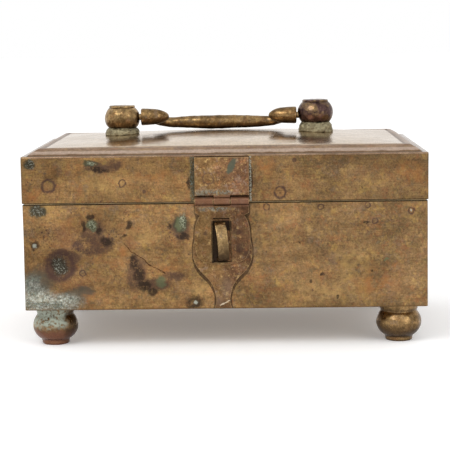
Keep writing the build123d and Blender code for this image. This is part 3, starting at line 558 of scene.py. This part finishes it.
def front_marks(shader, colour, clots, fine, glints):
    """Lay the stains of the front over the sheet: (colour, mask of the crust at the lower left)."""
    coarse = shader.warped(7.0, 9.0)
    ragged = shader.vector("ADD", coarse, shader.vector("SUBTRACT", shader.warped(3.4, 2.4), shader.place))
    neat = shader.warped(2.6, 2.6)
    fleck = shader.clumps(1.7, 0.40, 0.54, detail=5.0, roughness=0.75, shift=1.3)
    cloudy = shader.clumps(8.0, 0.42, 0.60, detail=8.0, roughness=0.75, shift=15.0)
    squiggles = shader.clumps(1.8, 0.55, 0.60, detail=3.0, roughness=0.6, shift=27.0)
    for places, soft, tint, strength, broken in (
        (YELLOWS, 1.0, STRAW, 0.55, cloudy),
        (RUSTS, 0.8, RUST, 0.62, cloudy),
        (WARM_EDGES, 0.6, RED_BROWN, 0.55, fleck),
        (PATCH_EDGES, 0.5, SLATE, 0.80, 1.0),
        (HALOS, 0.35, PURPLE, 0.78, clots),
        (SCORCHES, 0.35, BLACK, 0.85, clots),
    ):
        colour = shader.paint(colour, tint, shader.blots(ragged, places, soft), strength, broken)
    colour = shader.paint(colour, PURPLE, shader.rings(neat, RING_MARKS, 0.42), 0.95, clots)
    verdigris = shader.tooth(VERDIGRIS, 1.2, 0.7, 1.35, shift=2.5)
    for places, soft, tint, strength, broken in (
        (DEEP_GREENS, 0.3, DEEP_GREEN, 0.85, clots),
        (GREENS, 0.35, GREEN, 0.80, 1.0),
        (SPECKLED, 0.4, DARK_CORE, 0.75, 1.0),
        (SPECKLED, 0.6, GREY_WHITE, 0.60, glints),
        (PITTED, 0.6, PURPLE, 0.85, squiggles),
        (BLOOMS, 0.6, DEEP_GREEN, 0.8, clots),
        (BLOOMS, 0.6, verdigris, 0.95, fine),
    ):
        colour = shader.paint(colour, tint, shader.blots(ragged, places, soft), strength, broken)
    colour = shader.paint(colour, GREY_WHITE, shader.blots(neat, PALES, 0.4), 0.80)

    fade = shader.remap(shader.z, 56.0, 32.0, 0.35, 1.0)
    crust = shader.mix(fade, SLATE, GREY_WHITE)
    sage = shader.clumps(5.0, 0.46, 0.58, shift=19.0)
    crust = shader.stain(crust, (0.15, 0.19, 0.16), sage, 0.75)
    frost = shader.clumps(1.3, 0.50, 0.60, roughness=0.75, stretch=(2, 2, 1), shift=61.0)
    crust = shader.stain(crust, (0.62, 0.68, 0.66), shader.times(frost, fade, fade), 0.8)
    crust = shader.tooth(crust, 1.4, 0.35, 1.45, shift=6.6)
    crusted = shader.times(shader.blots(ragged, GREY_PATCHES, 0.55), shader.remap(fine, 0.0, 1.0, 0.62, 1.0))
    crusted = shader.times(crusted, shader.front)
    colour = shader.mix(crusted, colour, crust)
    colour = shader.paint(colour, CRACK_RED, shader.line(neat, CRACK, 0.34), 0.9, clots)
    return colour, crusted


def dirt_and_shade(shader, colour, clots, fine, glints):
    """Painted shadow in the seam, painted shade along the lower edge, dirt around the hasp."""
    # Painted shadow in the seam between the body and the lid.
    seam = shader.between(shader.z, BODY_HIGH.z - 0.45, BAND_LOW.z + 0.35, 0.30)
    colour = shader.stain(colour, SEAM_SHADOW_BLACK, seam, 0.92)
    # Painted shade along the lower edge of the walls.
    foot = shader.remap(shader.z, BODY_LOW.z + 1.3, BODY_LOW.z + 0.4)
    colour = shader.stain(colour, BROWN, foot, 0.6)
    for node in HASP_PLATES:
        outline = outline_mask(shader, node, 0.45, 0.4)
        colour = shader.paint(colour, OUTLINE_BROWN, outline, 0.80, clots)
    leaf_low, leaf_high = box_mm("hasp_leaf")
    beside_leaf = (BAND_LOW.z + 1, leaf_high.z)
    fringe = shader.patch((leaf_low.x - 2.6, leaf_low.x - 0.6), beside_leaf, 1.4, 2.0)
    colour = shader.paint(colour, DEEP_GREEN, fringe, 0.65, clots)
    colour = shader.paint(colour, (0.20, 0.23, 0.21), fringe, 0.55, glints)
    rim = shader.patch((leaf_high.x + 0.6, leaf_high.x + 1.6), beside_leaf, 0.5, 2.0)
    return shader.paint(colour, GREY_WHITE, rim, 0.7, fine)


def shading(shader, colour, side):
    """Worn edges, painted shade on the right of the lid's sides, the dull left corner and long smears."""
    colour = shader.stain(colour, STRAW, shader.bend(0.53, 0.60), 0.5)
    on_lid = shader.remap(shader.z, BAND_LOW.z - 1, BAND_LOW.z)
    # Painted shade: the lid's sides darker towards the right.
    right_shade = shader.times(on_lid, shader.remap(shader.x, -60.0, 40.0, 0.4, 1.0))
    colour = shader.scaled(colour, shader.remap(right_shade, 0.0, 1.0, 1.0, 0.84))
    corner = shader.remap(side, -95.0, -135.0)
    colour = shader.scaled(colour, shader.remap(corner, 0.0, 1.0, 0.93, 0.76))
    colour = shader.vector("MULTIPLY", colour, (1.0, 0.97, 0.90))
    smear = shader.noise(14.0, detail=7.0, roughness=0.62, stretch=(4, 4, 1), shift=23.0)
    return shader.scaled(colour, shader.remap(smear, 0.36, 0.64, 0.80, 1.14))


def wall_brass():
    """Old rolled sheet of the body and the lid's sides, with the marks on its front."""
    shader = Shader("wall_brass")
    side = shader.add(shader.x, shader.drift(60.0, 220.0))
    colour, amount, worms = sheet_tarnish(shader, side)
    clots = shader.clumps(2.6, 0.36, 0.50, (0.45, 1.0), detail=5.0, roughness=0.75, shift=8.3)
    fine = shader.clumps(1.0, 0.44, 0.56, detail=3.0, roughness=0.7, shift=5.3)
    glints = shader.clumps(1.0, 0.54, 0.60, detail=3.0, roughness=0.7, shift=25.3)
    colour, crusted = front_marks(shader, colour, clots, fine, glints)
    colour = dirt_and_shade(shader, colour, clots, fine, glints)
    colour = shading(shader, colour, side)
    roughness = shader.remap(amount, 0.50, 1.0, 0.32, 0.50)
    roughness = shader.add(roughness, shader.times(crusted, 0.35))
    metallic = shader.minus(1.0, shader.times(crusted, 0.8))
    normal = shader.bump(shader.noise(30.0, detail=2.0, shift=4.0), 0.5)
    normal = shader.bump(shader.noise(5.0, detail=3.0, shift=2.0), 0.10, normal)
    normal = shader.bump(shader.noise(1.2, roughness=0.7), 0.07, normal)
    normal = shader.bump(worms, -0.10, normal)
    return shader.finish(colour, roughness, metallic, normal)


def lid_brass():
    """Top of the lid: rubbed bright on the dome with painted reflection, browner ledge and moulding with a
    painted highlight, painted shade in the crease.
    """
    shader = Shader("lid_brass")
    across = shader.minus(HALF_X, shader.math("ABSOLUTE", shader.x))
    along = shader.minus(HALF_Y, shader.math("ABSOLUTE", shader.minus(shader.y, MIDDLE_Y)))
    inset = shader.add(shader.math("MINIMUM", across, along), shader.drift(9.0, 2.0))
    # Dome colour: rubbed brass lightened as painted reflection of the pale surroundings.
    worn, amount = old_brass(shader, (0.66, 0.51, 0.34), (0.44, 0.31, 0.19), mottle=44.0, shift=11.0)
    worn = shader.mix(0.5, worn, (0.66, 0.51, 0.35))
    side, _ = old_brass(shader, (0.36, 0.24, 0.155), (0.24, 0.150, 0.092), mottle=20.0, shift=5.0)
    worn = shader.mix(shader.remap(inset, LEDGE_WIDTH + 2, CREASE_INSET), side, worn)
    # Painted highlight along the moulding just inside the ledge.
    ridge_highlight = shader.between(inset, LEDGE_WIDTH + 1.8, LEDGE_WIDTH + 3.6, 1.4)
    side = shader.stain(side, (0.50, 0.38, 0.30), ridge_highlight, 0.85)
    moulding = shader.between(inset, LEDGE_WIDTH + 0.5, CREASE_INSET + 0.5, 1.8)
    colour = shader.mix(moulding, worn, side)
    # Painted shade in the crease and in the gutter where the ledge meets the moulding.
    crease = shader.between(inset, CREASE_INSET - 0.5, CREASE_INSET + 0.7, 0.8)
    colour = shader.stain(colour, BROWN, crease, 0.7)
    gutter = shader.between(inset, LEDGE_WIDTH - 0.8, LEDGE_WIDTH + 0.6, 0.8)
    colour = shader.stain(colour, BROWN, gutter, 0.6)
    colour = shader.tooth(colour, 1.6, 0.80, 1.14, shift=8.0)
    colour = scattered_spots(shader, colour, size=34.0, shift=4.2)
    roughness = shader.remap(amount, 0.50, 1.0, 0.15, 0.24)
    roughness = shader.add(roughness, shader.times(moulding, 0.15))
    normal = shader.bump(shader.noise(24.0, detail=2.0, shift=6.0), 0.30)
    normal = shader.bump(shader.noise(7.0, detail=3.0, shift=1.0), 0.04, normal)
    normal = shader.bump(shader.noise(1.6, detail=3.0), 0.015, normal)
    return shader.finish(colour, roughness, 1.0, normal)


# ---------------- cast and forged brass
def cast_brass(name, light, dark, shift):
    """Cast and filed brass: small mottle, file marks, rubbed edges, darker in hollows, painted shade on the
    undersides.
    """
    shader = Shader(name)
    colour, amount = old_brass(shader, light, dark, mottle=13.0, shift=shift)
    colour = specks(shader, colour, size=0.9, strength=0.7, shift=shift)
    colour = shader.tooth(colour, 3.2, 0.72, 1.25, shift=shift + 2.0)
    colour = shader.stain(colour, (0.50, 0.36, 0.19), shader.bend(0.515, 0.56), 0.5)
    colour = shader.stain(colour, (0.035, 0.024, 0.016), shader.bend(0.492, 0.46), 0.8)
    # Painted shade on faces turned downwards.
    colour = shader.stain(colour, (0.050, 0.031, 0.018), shader.underside_shade, 0.80)
    roughness = shader.remap(amount, 0.50, 1.0, 0.22, 0.42)
    normal = shader.bump(shader.noise(6.0, detail=2.0, shift=shift), 0.16)
    file_marks = shader.noise(0.8, detail=3.0, stretch=(5, 1, 1), shift=shift)
    normal = shader.bump(file_marks, 0.05, normal)
    return shader, colour, roughness, normal


def plain_cast_brass(name, light, dark, shift):
    shader, colour, roughness, normal = cast_brass(name, light, dark, shift)
    return shader.finish(colour, roughness, 1.0, normal)


def hasp_stains(shader, colour, ragged):
    """Green streak, rings, spots and the bright line of the hasp: a painted highlight along a scratch."""
    fork = shader.blots(ragged, HASP_FORKS, 0.6)
    colour = shader.stain(colour, GREY_BROWN, fork, 0.35)
    slant = shader.tree.nodes.new("ShaderNodeCombineXYZ")
    shader.put(slant.inputs["X"], shader.minus(shader.x, shader.times(shader.z, STREAK_LEAN)))
    shader.put(slant.inputs["Z"], shader.z)
    leaning = shader.vector("ADD", slant.outputs[0], shader.vector("SUBTRACT", ragged, shader.place))
    x, z, half_x, half_z = HASP_STREAK
    streak = shader.blots(leaning, [(x - STREAK_LEAN * z, z, half_x, half_z)], 0.25)
    colour = shader.stain(colour, (0.078, 0.092, 0.066), streak, 0.85)
    crust = shader.clumps(1.1, 0.42, 0.55, detail=5.0, roughness=0.7, shift=6.3)
    crust = shader.times(shader.blots(ragged, HASP_CRUSTS, 0.6), crust)
    colour = shader.stain(colour, (0.33, 0.33, 0.27), crust, 0.7)
    colour = shader.stain(colour, PURPLE, shader.rings(ragged, HASP_RINGS), 0.55)
    colour = shader.stain(colour, (0.060, 0.035, 0.025), shader.blots(ragged, HASP_SPOTS, 0.5), 0.7)
    # Painted highlight along a scratch low on the escutcheon.
    scratch = shader.line(ragged, HASP_SCRATCH_GLINT, 0.30)
    return shader.stain(colour, (0.60, 0.50, 0.36), scratch, 0.8), crust


def hasp_brass():
    """Hasp leaf, strap and escutcheon: gold on the left, red-brown on the right."""
    shader = Shader("hasp_brass")
    side = shader.remap(shader.add(shader.x, shader.drift(9.0, 22.0)), -14.0, 10.0)
    light = shader.mix(side, (0.170, 0.098, 0.040), (0.130, 0.068, 0.035))
    dark = shader.mix(side, (0.105, 0.058, 0.025), (0.075, 0.038, 0.021))
    colour, amount = old_brass(shader, light, dark, mottle=11.0, shift=21.0)
    leaf = shader.remap(shader.z, 111.0, 113.0)
    colour = shader.stain(colour, shader.scaled(colour, 1.9), leaf, 0.6)
    colour = specks(shader, colour, size=1.0, strength=0.75, shift=2.0)
    barrels = shader.math("ABSOLUTE", shader.minus(shader.z, HASP_AXIS_Z))
    colour = shader.stain(colour, (0.20, 0.095, 0.060), shader.remap(barrels, 4.6, 3.4), 0.6)
    toe = shader.remap(shader.z, 66.0, 56.0)
    colour = shader.stain(colour, shader.scaled(colour, 1.7), toe, 0.45)
    colour, crust = hasp_stains(shader, colour, shader.warped(3.5, 4.0))

    slot = shader.union([shader.patch(*area) for area in SLOT_SHADOWS])
    behind = shader.remap(shader.y, STRAP_FRONT + 0.5, STRAP_FRONT + 0.9)
    colour = shader.stain(colour, (0.014, 0.010, 0.008), shader.times(slot, behind), 0.92)
    colour = shader.stain(colour, (0.40, 0.27, 0.13), shader.bend(0.515, 0.56), 0.7)
    colour = shader.stain(colour, BLACK, shader.bend(0.49, 0.455), 0.85)
    roughness = shader.remap(amount, 0.50, 1.0, 0.32, 0.50)
    roughness = shader.add(roughness, shader.times(crust, 0.3))
    normal = shader.bump(shader.noise(8.0, detail=3.0), 0.25)
    normal = shader.bump(shader.noise(1.2), 0.07, normal)
    normal = shader.bump(crust, 0.25, normal)
    return shader.finish(colour, roughness, 1.0, normal)


def foot_brass():
    """Feet: cast brass, the front left one crusted grey-green above a red-brown lower half."""
    light, dark = (0.30, 0.185, 0.080), (0.13, 0.078, 0.034)
    shader, colour, roughness, normal = cast_brass("foot_brass", light, dark, shift=31.0)
    front_left = shader.times(
        shader.remap(shader.x, -95.0, -100.0), shader.remap(shader.y, -40.0, -45.0)
    )
    wander = shader.drift(5.0, 9.0)
    level = shader.add(shader.z, wander)
    side = shader.add(shader.x, shader.times(wander, 1.4))
    crust = shader.times(shader.remap(level, 12.0, 17.0), shader.remap(side, -117.0, -123.0))
    fleck = shader.clumps(2.6, 0.36, 0.54, detail=5.0, roughness=0.7)
    crust = shader.times(crust, front_left, fleck)
    red = shader.times(shader.remap(level, 15.0, 9.0), front_left)
    colour = shader.stain(colour, (0.20, 0.085, 0.055), red, 0.7)
    # Painted shade on the right of the front left foot.
    right_side_shade = shader.times(shader.remap(side, -124.0, -116.0), front_left)
    colour = shader.stain(colour, BLACK, right_side_shade, 0.6)
    colour = shader.stain(colour, (0.34, 0.38, 0.31), crust, 0.9)
    roughness = shader.add(roughness, shader.times(crust, 0.35))
    metallic = shader.minus(1.0, shader.times(crust, 0.8))
    return shader.finish(colour, roughness, metallic, shader.bump(crust, 0.3, normal))


def post_brass():
    """Handle posts and caps: the left one golden, the right one purple-brown."""
    light, dark = (0.42, 0.275, 0.125), (0.16, 0.098, 0.042)
    shader, colour, roughness, normal = cast_brass("post_brass", light, dark, shift=41.0)
    right = shader.remap(shader.x, -10.0, 10.0)
    cloud = shader.clumps(7.0, 0.40, 0.58, shift=9.0)
    mask = shader.times(right, shader.remap(cloud, 0.0, 1.0, 0.55, 1.0))
    tarnish = shader.tooth((0.062, 0.036, 0.032), 4.0, 0.5, 1.9, shift=5.0)
    return shader.finish(shader.mix(mask, colour, tarnish), roughness, 1.0, normal)


def solder_grey():
    """Rough brazed collars: dull olive grey crust."""
    shader = Shader("solder_grey")
    lumps = shader.noise(3.0, detail=5.0, roughness=0.65)
    colour = shader.mix(shader.remap(lumps, 0.35, 0.65), (0.17, 0.135, 0.075), (0.36, 0.32, 0.20))
    colour = specks(shader, colour, size=1.2, strength=0.7)
    roughness = shader.remap(lumps, 0.3, 0.7, 0.5, 0.7)
    return shader.finish(colour, roughness, 0.75, shader.bump(lumps, 0.6))


def spun_brass():
    """Cups: lighter spun sheet with faint rings and finger tarnish."""
    shader = Shader("spun_brass")
    colour, amount = old_brass(shader, (0.56, 0.41, 0.19), (0.36, 0.24, 0.10), mottle=24.0, shift=51.0)
    colour = specks(shader, colour, size=1.4, strength=0.3)
    normal = shader.bump(shader.math("SINE", shader.times(shader.z, 5.2)), 0.03)
    normal = shader.bump(shader.noise(1.2), 0.03, normal)
    return shader.finish(colour, shader.remap(amount, 0.45, 1.0, 0.20, 0.34), 1.0, normal)


# ---------------- meshes
def new_piece(name, mesh, material, body, *nodes):
    """Put a finished mesh in the scene, on its body and in place of its CAD nodes."""
    piece = bpy.data.objects.new(name, mesh)
    bpy.context.scene.collection.objects.link(piece)
    mesh.materials.clear()
    mesh.materials.append(material)
    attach(piece, body)
    if nodes:
        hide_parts(*nodes)
    return piece


def unevenness(place, size, seed):
    """Smooth noise from -1 to 1 about size millimetres across."""
    return noise.noise(place / size + Vector((seed, seed * 0.37, -seed)))


def worn_copy(node, material, body, voxel, depth, size, smooth=4, seed=1.0):
    """A denser, rounded copy of a small CAD node with hand-made unevenness.

    The copy is remeshed at voxel millimetres, relaxed so its edges look worn, and moved along
    its normals by up to depth millimetres of noise size millimetres across.
    """
    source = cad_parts[node]
    copy = bpy.data.objects.new("work", source.data.copy())
    bpy.context.scene.collection.objects.link(copy)
    remesh = copy.modifiers.new("remesh", "REMESH")
    remesh.mode = "VOXEL"
    remesh.voxel_size = voxel * MM
    relax = copy.modifiers.new("relax", "SMOOTH")
    relax.factor = 0.5
    relax.iterations = smooth
    graph = bpy.context.evaluated_depsgraph_get()
    mesh = bpy.data.meshes.new_from_object(copy.evaluated_get(graph))
    bpy.data.objects.remove(copy)
    moves = []
    for vertex in mesh.vertices:
        place = vertex.co / MM
        push = unevenness(place, size, seed) + 0.5 * unevenness(place, size * 0.4, seed + 9.0)
        moves.append(vertex.normal * (push * depth * MM))
    for vertex, move in zip(mesh.vertices, moves):
        vertex.co += move
        vertex.co.z = max(vertex.co.z, 0.0)
    for polygon in mesh.polygons:
        polygon.use_smooth = True
    return new_piece("worn_" + node, mesh, material, body, node)


def fullness(share):
    """Height of the dome's cross-section, 1 in the middle and 0 at the crease."""
    bulge = (1 - share**2) / 4
    return 5 * bulge - 4 * bulge**2


def lid_height(x, y):
    """Height of the lid's upper face at (x, y) from its middle: ledge, moulding, crease, dome."""
    inset = min(HALF_X - abs(x), HALF_Y - abs(y))
    wander = 0.5 * unevenness(Vector((x, y, 0)), 26.0, 3.0)
    if inset < LEDGE_WIDTH:
        return LEDGE_Z + 0.12 * wander
    if inset < CREASE_INSET:
        run = (inset - LEDGE_WIDTH) / (CREASE_INSET - LEDGE_WIDTH)
        rise = MOULDING_RISE * math.sin(run * math.pi / 2) ** 0.8
        roll = 0.35 * math.exp(-(((inset - CREASE_INSET + 3.0) / 1.8) ** 2))
        groove = 0.75 * math.exp(-(((inset - CREASE_INSET) / 0.9) ** 2))
        return LEDGE_Z + rise + roll - groove + 0.15 * wander
    span_x = HALF_X - CREASE_INSET
    span_y = HALF_Y - CREASE_INSET
    groove = 0.75 * math.exp(-(((inset - CREASE_INSET) / 0.9) ** 2))
    dome = DOME_RISE * fullness(x / span_x) * fullness(y / span_y)
    beaten = 0.16 * unevenness(Vector((x, y, 0)), 30.0, 5.0) * min(1.0, (inset - CREASE_INSET) / 12.0)
    return LEDGE_Z + MOULDING_RISE - groove + dome + beaten


def graded(half, fine_from, fine_step, coarse_step):
    """Positions from -half to half, close together near both ends."""
    inner = half - fine_from
    count = math.ceil(2 * inner / coarse_step)
    middle = [-inner + 2 * inner * k / count for k in range(count + 1)]
    edge_count = math.ceil(fine_from / fine_step)
    edge = [half - fine_from * k / edge_count for k in range(edge_count)]
    return sorted([-v for v in edge] + middle + edge)


def lid_top_piece(material):
    """The pressed top sheet, a closed shell with a rounded outer edge."""
    xs = graded(HALF_X, CREASE_INSET + 6.0, 0.7, 3.2)
    ys = graded(HALF_Y, CREASE_INSET + 6.0, 0.7, 3.2)
    work = bmesh.new()
    corner = 2.4

    def rounded(x, y):
        """Pull a point of the square outline in to the rounded corner."""
        over_x = abs(x) - (HALF_X - corner)
        over_y = abs(y) - (HALF_Y - corner)
        if over_x > 0 and over_y > 0:
            shrink = max(over_x, over_y) / math.hypot(over_x, over_y)
            x = math.copysign(HALF_X - corner + over_x * shrink, x)
            y = math.copysign(HALF_Y - corner + over_y * shrink, y)
        return x, y

    def sheet(drop):
        grid = []
        for x in xs:
            row = []
            for y in ys:
                at_x, at_y = rounded(x, y)
                edge = min(HALF_X - abs(x), HALF_Y - abs(y))
                turn = 0.55 * max(0.0, 1 - edge / 1.2) ** 2 if drop == 0 else 0.0
                place = Vector((at_x, at_y + MIDDLE_Y, lid_height(x, y) - drop - turn))
                row.append(work.verts.new(place * MM))
            grid.append(row)
        return grid

    upper = sheet(0.0)
    lower = sheet(TOP_SHEET)
    for i in range(len(xs) - 1):
        for j in range(len(ys) - 1):
            work.faces.new((upper[i][j], upper[i + 1][j], upper[i + 1][j + 1], upper[i][j + 1]))
            work.faces.new((lower[i][j], lower[i][j + 1], lower[i + 1][j + 1], lower[i + 1][j]))
    around = [(i, 0) for i in range(len(xs))]
    around += [(len(xs) - 1, j) for j in range(1, len(ys))]
    around += [(i, len(ys) - 1) for i in range(len(xs) - 2, -1, -1)]
    around += [(0, j) for j in range(len(ys) - 2, 0, -1)]
    for (i, j), (k, m) in zip(around, around[1:] + around[:1]):
        work.faces.new((upper[i][j], lower[i][j], lower[k][m], upper[k][m]))
    for face in work.faces:
        face.smooth = True
    mesh = bpy.data.meshes.new("lid_sheet")
    work.to_mesh(mesh)
    work.free()
    return new_piece("lid_sheet", mesh, material, "lid", "lid_top")


def outline_round(half_x, half_y, corner, step):
    """Points and outward normals around a rounded rectangle, anticlockwise from the front right."""
    points = []
    turns = 6
    centres = [
        (half_x - corner, -half_y + corner, -90),
        (half_x - corner, half_y - corner, 0),
        (-half_x + corner, half_y - corner, 90),
        (-half_x + corner, -half_y + corner, 180),
    ]
    for index, (centre_x, centre_y, start) in enumerate(centres):
        for k in range(turns + 1):
            angle = math.radians(start + 90 * k / turns)
            normal = Vector((math.cos(angle), math.sin(angle), 0))
            points.append((Vector((centre_x, centre_y, 0)) + normal * corner, normal))
        last = points[-1]
        next_x, next_y, next_start = centres[(index + 1) % 4]
        turn = math.radians(next_start)
        normal = Vector((math.cos(turn), math.sin(turn), 0))
        target = Vector((next_x, next_y, 0)) + normal * corner
        count = max(2, math.ceil((target - last[0]).length / step))
        points += [(last[0].lerp(target, k / count), normal) for k in range(1, count)]
    return points


def sheet_tube(name, node, material, body, warp, seed, corner):
    """Bent sheet walls of a box: rounded corners, rolled edges and slightly uneven faces."""
    low, high = box_mm(node)
    ring = outline_round((high.x - low.x) / 2, (high.y - low.y) / 2, corner, 3.0)
    height = high.z - low.z
    rows = max(6, round(height / 4.0))
    roll = 0.35
    outside = [(roll, 0.0), (roll * 0.3, roll * 0.3), (0.0, roll)]
    outside += [(0.0, roll + (height - 2 * roll) * k / rows) for k in range(1, rows)]
    outside += [(0.0, height - roll), (roll * 0.3, height - roll * 0.3), (roll, height)]
    inside = [(SHEET - inset, level) for inset, level in reversed(outside)]
    profile = outside + inside
    work = bmesh.new()
    columns = []
    for point, normal in ring:
        column = []
        for depth, level in profile:
            flat = point - normal * depth
            place = Vector((flat.x, flat.y + MIDDLE_Y, low.z + level))
            push = warp * unevenness(Vector((point.x, point.y, place.z)), 42.0, seed)
            push += 0.25 * warp * unevenness(Vector((point.x, point.y, place.z)), 13.0, seed + 4.0)
            lift = 0.12 * unevenness(Vector((point.x, point.y, 0)), 60.0, seed + 2.0)
            lift *= 1.0 if level < height / 2 else -1.0
            lift *= abs(level / height - 0.5) * 2
            column.append(work.verts.new((place + normal * min(push, 0.0) + Vector((0, 0, lift))) * MM))
        columns.append(column)
    count = len(profile)
    for first, second in zip(columns, columns[1:] + columns[:1]):
        for k in range(count):
            n = (k + 1) % count
            work.faces.new((first[k], second[k], second[n], first[n])).smooth = True
    mesh = bpy.data.meshes.new(name)
    work.to_mesh(mesh)
    work.free()
    return new_piece(name, mesh, material, body, node)


# ---------------- build the looks
WALL = wall_brass()
LID = lid_brass()
HASP = hasp_brass()
FOOT = foot_brass()
POST = post_brass()
SOLDER = solder_grey()
SPUN = spun_brass()
HANDLE = plain_cast_brass("handle_brass", (0.30, 0.190, 0.080), (0.115, 0.066, 0.028), 61.0)
STAPLE = plain_cast_brass("staple_brass", (0.36, 0.24, 0.11), (0.15, 0.092, 0.040), 71.0)
# Near-black brass for the rim strip: painted shadow seen through the seam.
SEAM = plain_cast_brass("seam_shadow_brass", (0.040, 0.027, 0.018), (0.016, 0.011, 0.008), 91.0)
DARK = plain_cast_brass("dark_brass", (0.16, 0.095, 0.045), (0.06, 0.036, 0.018), 81.0)
HINGE = plain_cast_brass("hinge_brass", (0.27, 0.170, 0.075), (0.13, 0.078, 0.034), 91.0)

NODE_MATERIALS = {
    "bottom_plate": WALL,
    # The rim strip carries the painted shadow of the seam.
    "rim_strip": SEAM,
    "foot_rivets": DARK,
    "hinge_pins": DARK,
    "body_hinge_rivets": HINGE,
    "lid_hinge_rivets": HINGE,
    "hasp_pin": DARK,
    "handle_pins": DARK,
    "post_studs": DARK,
    "post_washers": DARK,
}
for name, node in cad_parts.items():
    material = NODE_MATERIALS.get(name, SPUN if name.startswith("cup_") else WALL)
    node.data.materials.clear()
    node.data.materials.append(material)

sheet_tube("body_sheet", "body_walls", WALL, "body", warp=0.30, seed=2.0, corner=1.8)
sheet_tube("lid_sides", "lid_band", WALL, "lid", warp=0.25, seed=6.0, corner=2.4)
lid_top_piece(LID)
for corner_name, seed in (("front_left", 10), ("front_right", 11), ("rear_left", 9), ("rear_right", 10)):
    worn_copy("foot_" + corner_name, FOOT, "body", 0.6, 0.22, 7.0, seed=seed)
for side_name, seed in (("left", 3.0), ("right", 8.0)):
    worn_copy("post_collar_" + side_name, SOLDER, "lid", 0.45, 0.75, 6.0, seed=seed)
    worn_copy("handle_post_" + side_name, POST, "lid", 0.5, 0.22, 6.0, seed=seed)
    worn_copy("post_cap_" + side_name, POST, "lid", 0.35, 0.22, 5.0, smooth=2, seed=seed)
    worn_copy("handle_bud_" + side_name, HANDLE, "handle", 0.35, 0.18, 5.0, seed=seed)
    worn_copy("hinge_body_leaf_" + side_name, HINGE, "body", 0.35, 0.06, 6.0, smooth=2, seed=seed)
    worn_copy("hinge_lid_leaf_" + side_name, HINGE, "lid", 0.35, 0.06, 6.0, smooth=2, seed=seed)
worn_copy("handle_bail", HANDLE, "handle", 0.45, 0.35, 9.0, seed=5.0)
worn_copy("hasp_leaf", HASP, "lid", 0.35, 0.10, 9.0, smooth=2, seed=2.0)
worn_copy("hasp_strap", HASP, "hasp", 0.35, 0.12, 9.0, smooth=2, seed=4.0)
worn_copy("hasp_escutcheon", HASP, "body", 0.30, 0.08, 8.0, smooth=2, seed=6.0)
worn_copy("hasp_staple", STAPLE, "body", 0.35, 0.20, 5.0, smooth=3, seed=7.0)


# ---------------- floor, light and camera
def floor_piece():
    """A wide pale floor, slightly bright so that it meets the background softly."""
    work = bmesh.new()
    bmesh.ops.create_grid(work, x_segments=8, y_segments=8, size=12.0)
    mesh = bpy.data.meshes.new("floor")
    work.to_mesh(mesh)
    work.free()
    floor = bpy.data.objects.new("floor", mesh)
    bpy.context.scene.collection.objects.link(floor)
    shader = Shader("floor_white")
    shader.finish((0.93, 0.93, 0.93), 0.9, 0.0)
    shader.principled.inputs["Emission Color"].default_value = (1.0, 1.0, 1.0, 1.0)
    shader.principled.inputs["Emission Strength"].default_value = 0.16
    mesh.materials.append(shader.material)


def area_light(name, place, aim, size, power):
    light = bpy.data.lights.new(name, "AREA")
    light.shape = "RECTANGLE"
    light.size, light.size_y = size
    light.energy = power
    lamp = bpy.data.objects.new(name, light)
    lamp.location = place
    lamp.rotation_euler = (Vector(aim) - Vector(place)).to_track_quat("-Z", "Y").to_euler()
    bpy.context.scene.collection.objects.link(lamp)


def pale_world(strength):
    world = bpy.data.worlds.new("studio")
    world.use_nodes = True
    background = world.node_tree.nodes["Background"]
    background.inputs["Color"].default_value = (1.0, 1.0, 1.0, 1.0)
    background.inputs["Strength"].default_value = strength
    bpy.context.scene.world = world


def camera(place, yaw, pitch, roll, lens):
    """Camera turned by yaw to the right, pitch down and roll, in degrees."""
    yaw, pitch, roll = (math.radians(angle) for angle in (yaw, pitch, roll))
    forward = Vector((math.sin(yaw) * math.cos(pitch), math.cos(yaw) * math.cos(pitch), -math.sin(pitch)))
    right = Vector((math.cos(yaw), -math.sin(yaw), 0.0))
    up = right.cross(forward)
    right, up = (
        right * math.cos(roll) + up * math.sin(roll),
        up * math.cos(roll) - right * math.sin(roll),
    )
    data = bpy.data.cameras.new("camera")
    data.lens = lens
    data.sensor_width = 36.0
    data.clip_end = 100.0
    view = bpy.data.objects.new("camera", data)
    view.matrix_world = Matrix(
        (
            (right.x, up.x, -forward.x, place[0]),
            (right.y, up.y, -forward.y, place[1]),
            (right.z, up.z, -forward.z, place[2]),
            (0, 0, 0, 1),
        )
    )
    bpy.context.scene.collection.objects.link(view)
    bpy.context.scene.camera = view


floor_piece()
pale_world(1.0)
area_light("key", (-0.9, -1.3, 1.5), (0, 0, 0.08), (1.2, 0.9), 14.0)
area_light("fill", (1.1, -1.5, 0.8), (0, 0, 0.08), (1.0, 1.0), 5.0)
camera((0.021, MIDDLE_Y * MM - 1.267, 0.235), yaw=-1.03, pitch=7.03, roll=-0.82, lens=127.7)
bpy.context.scene.view_settings.view_transform = "Standard"
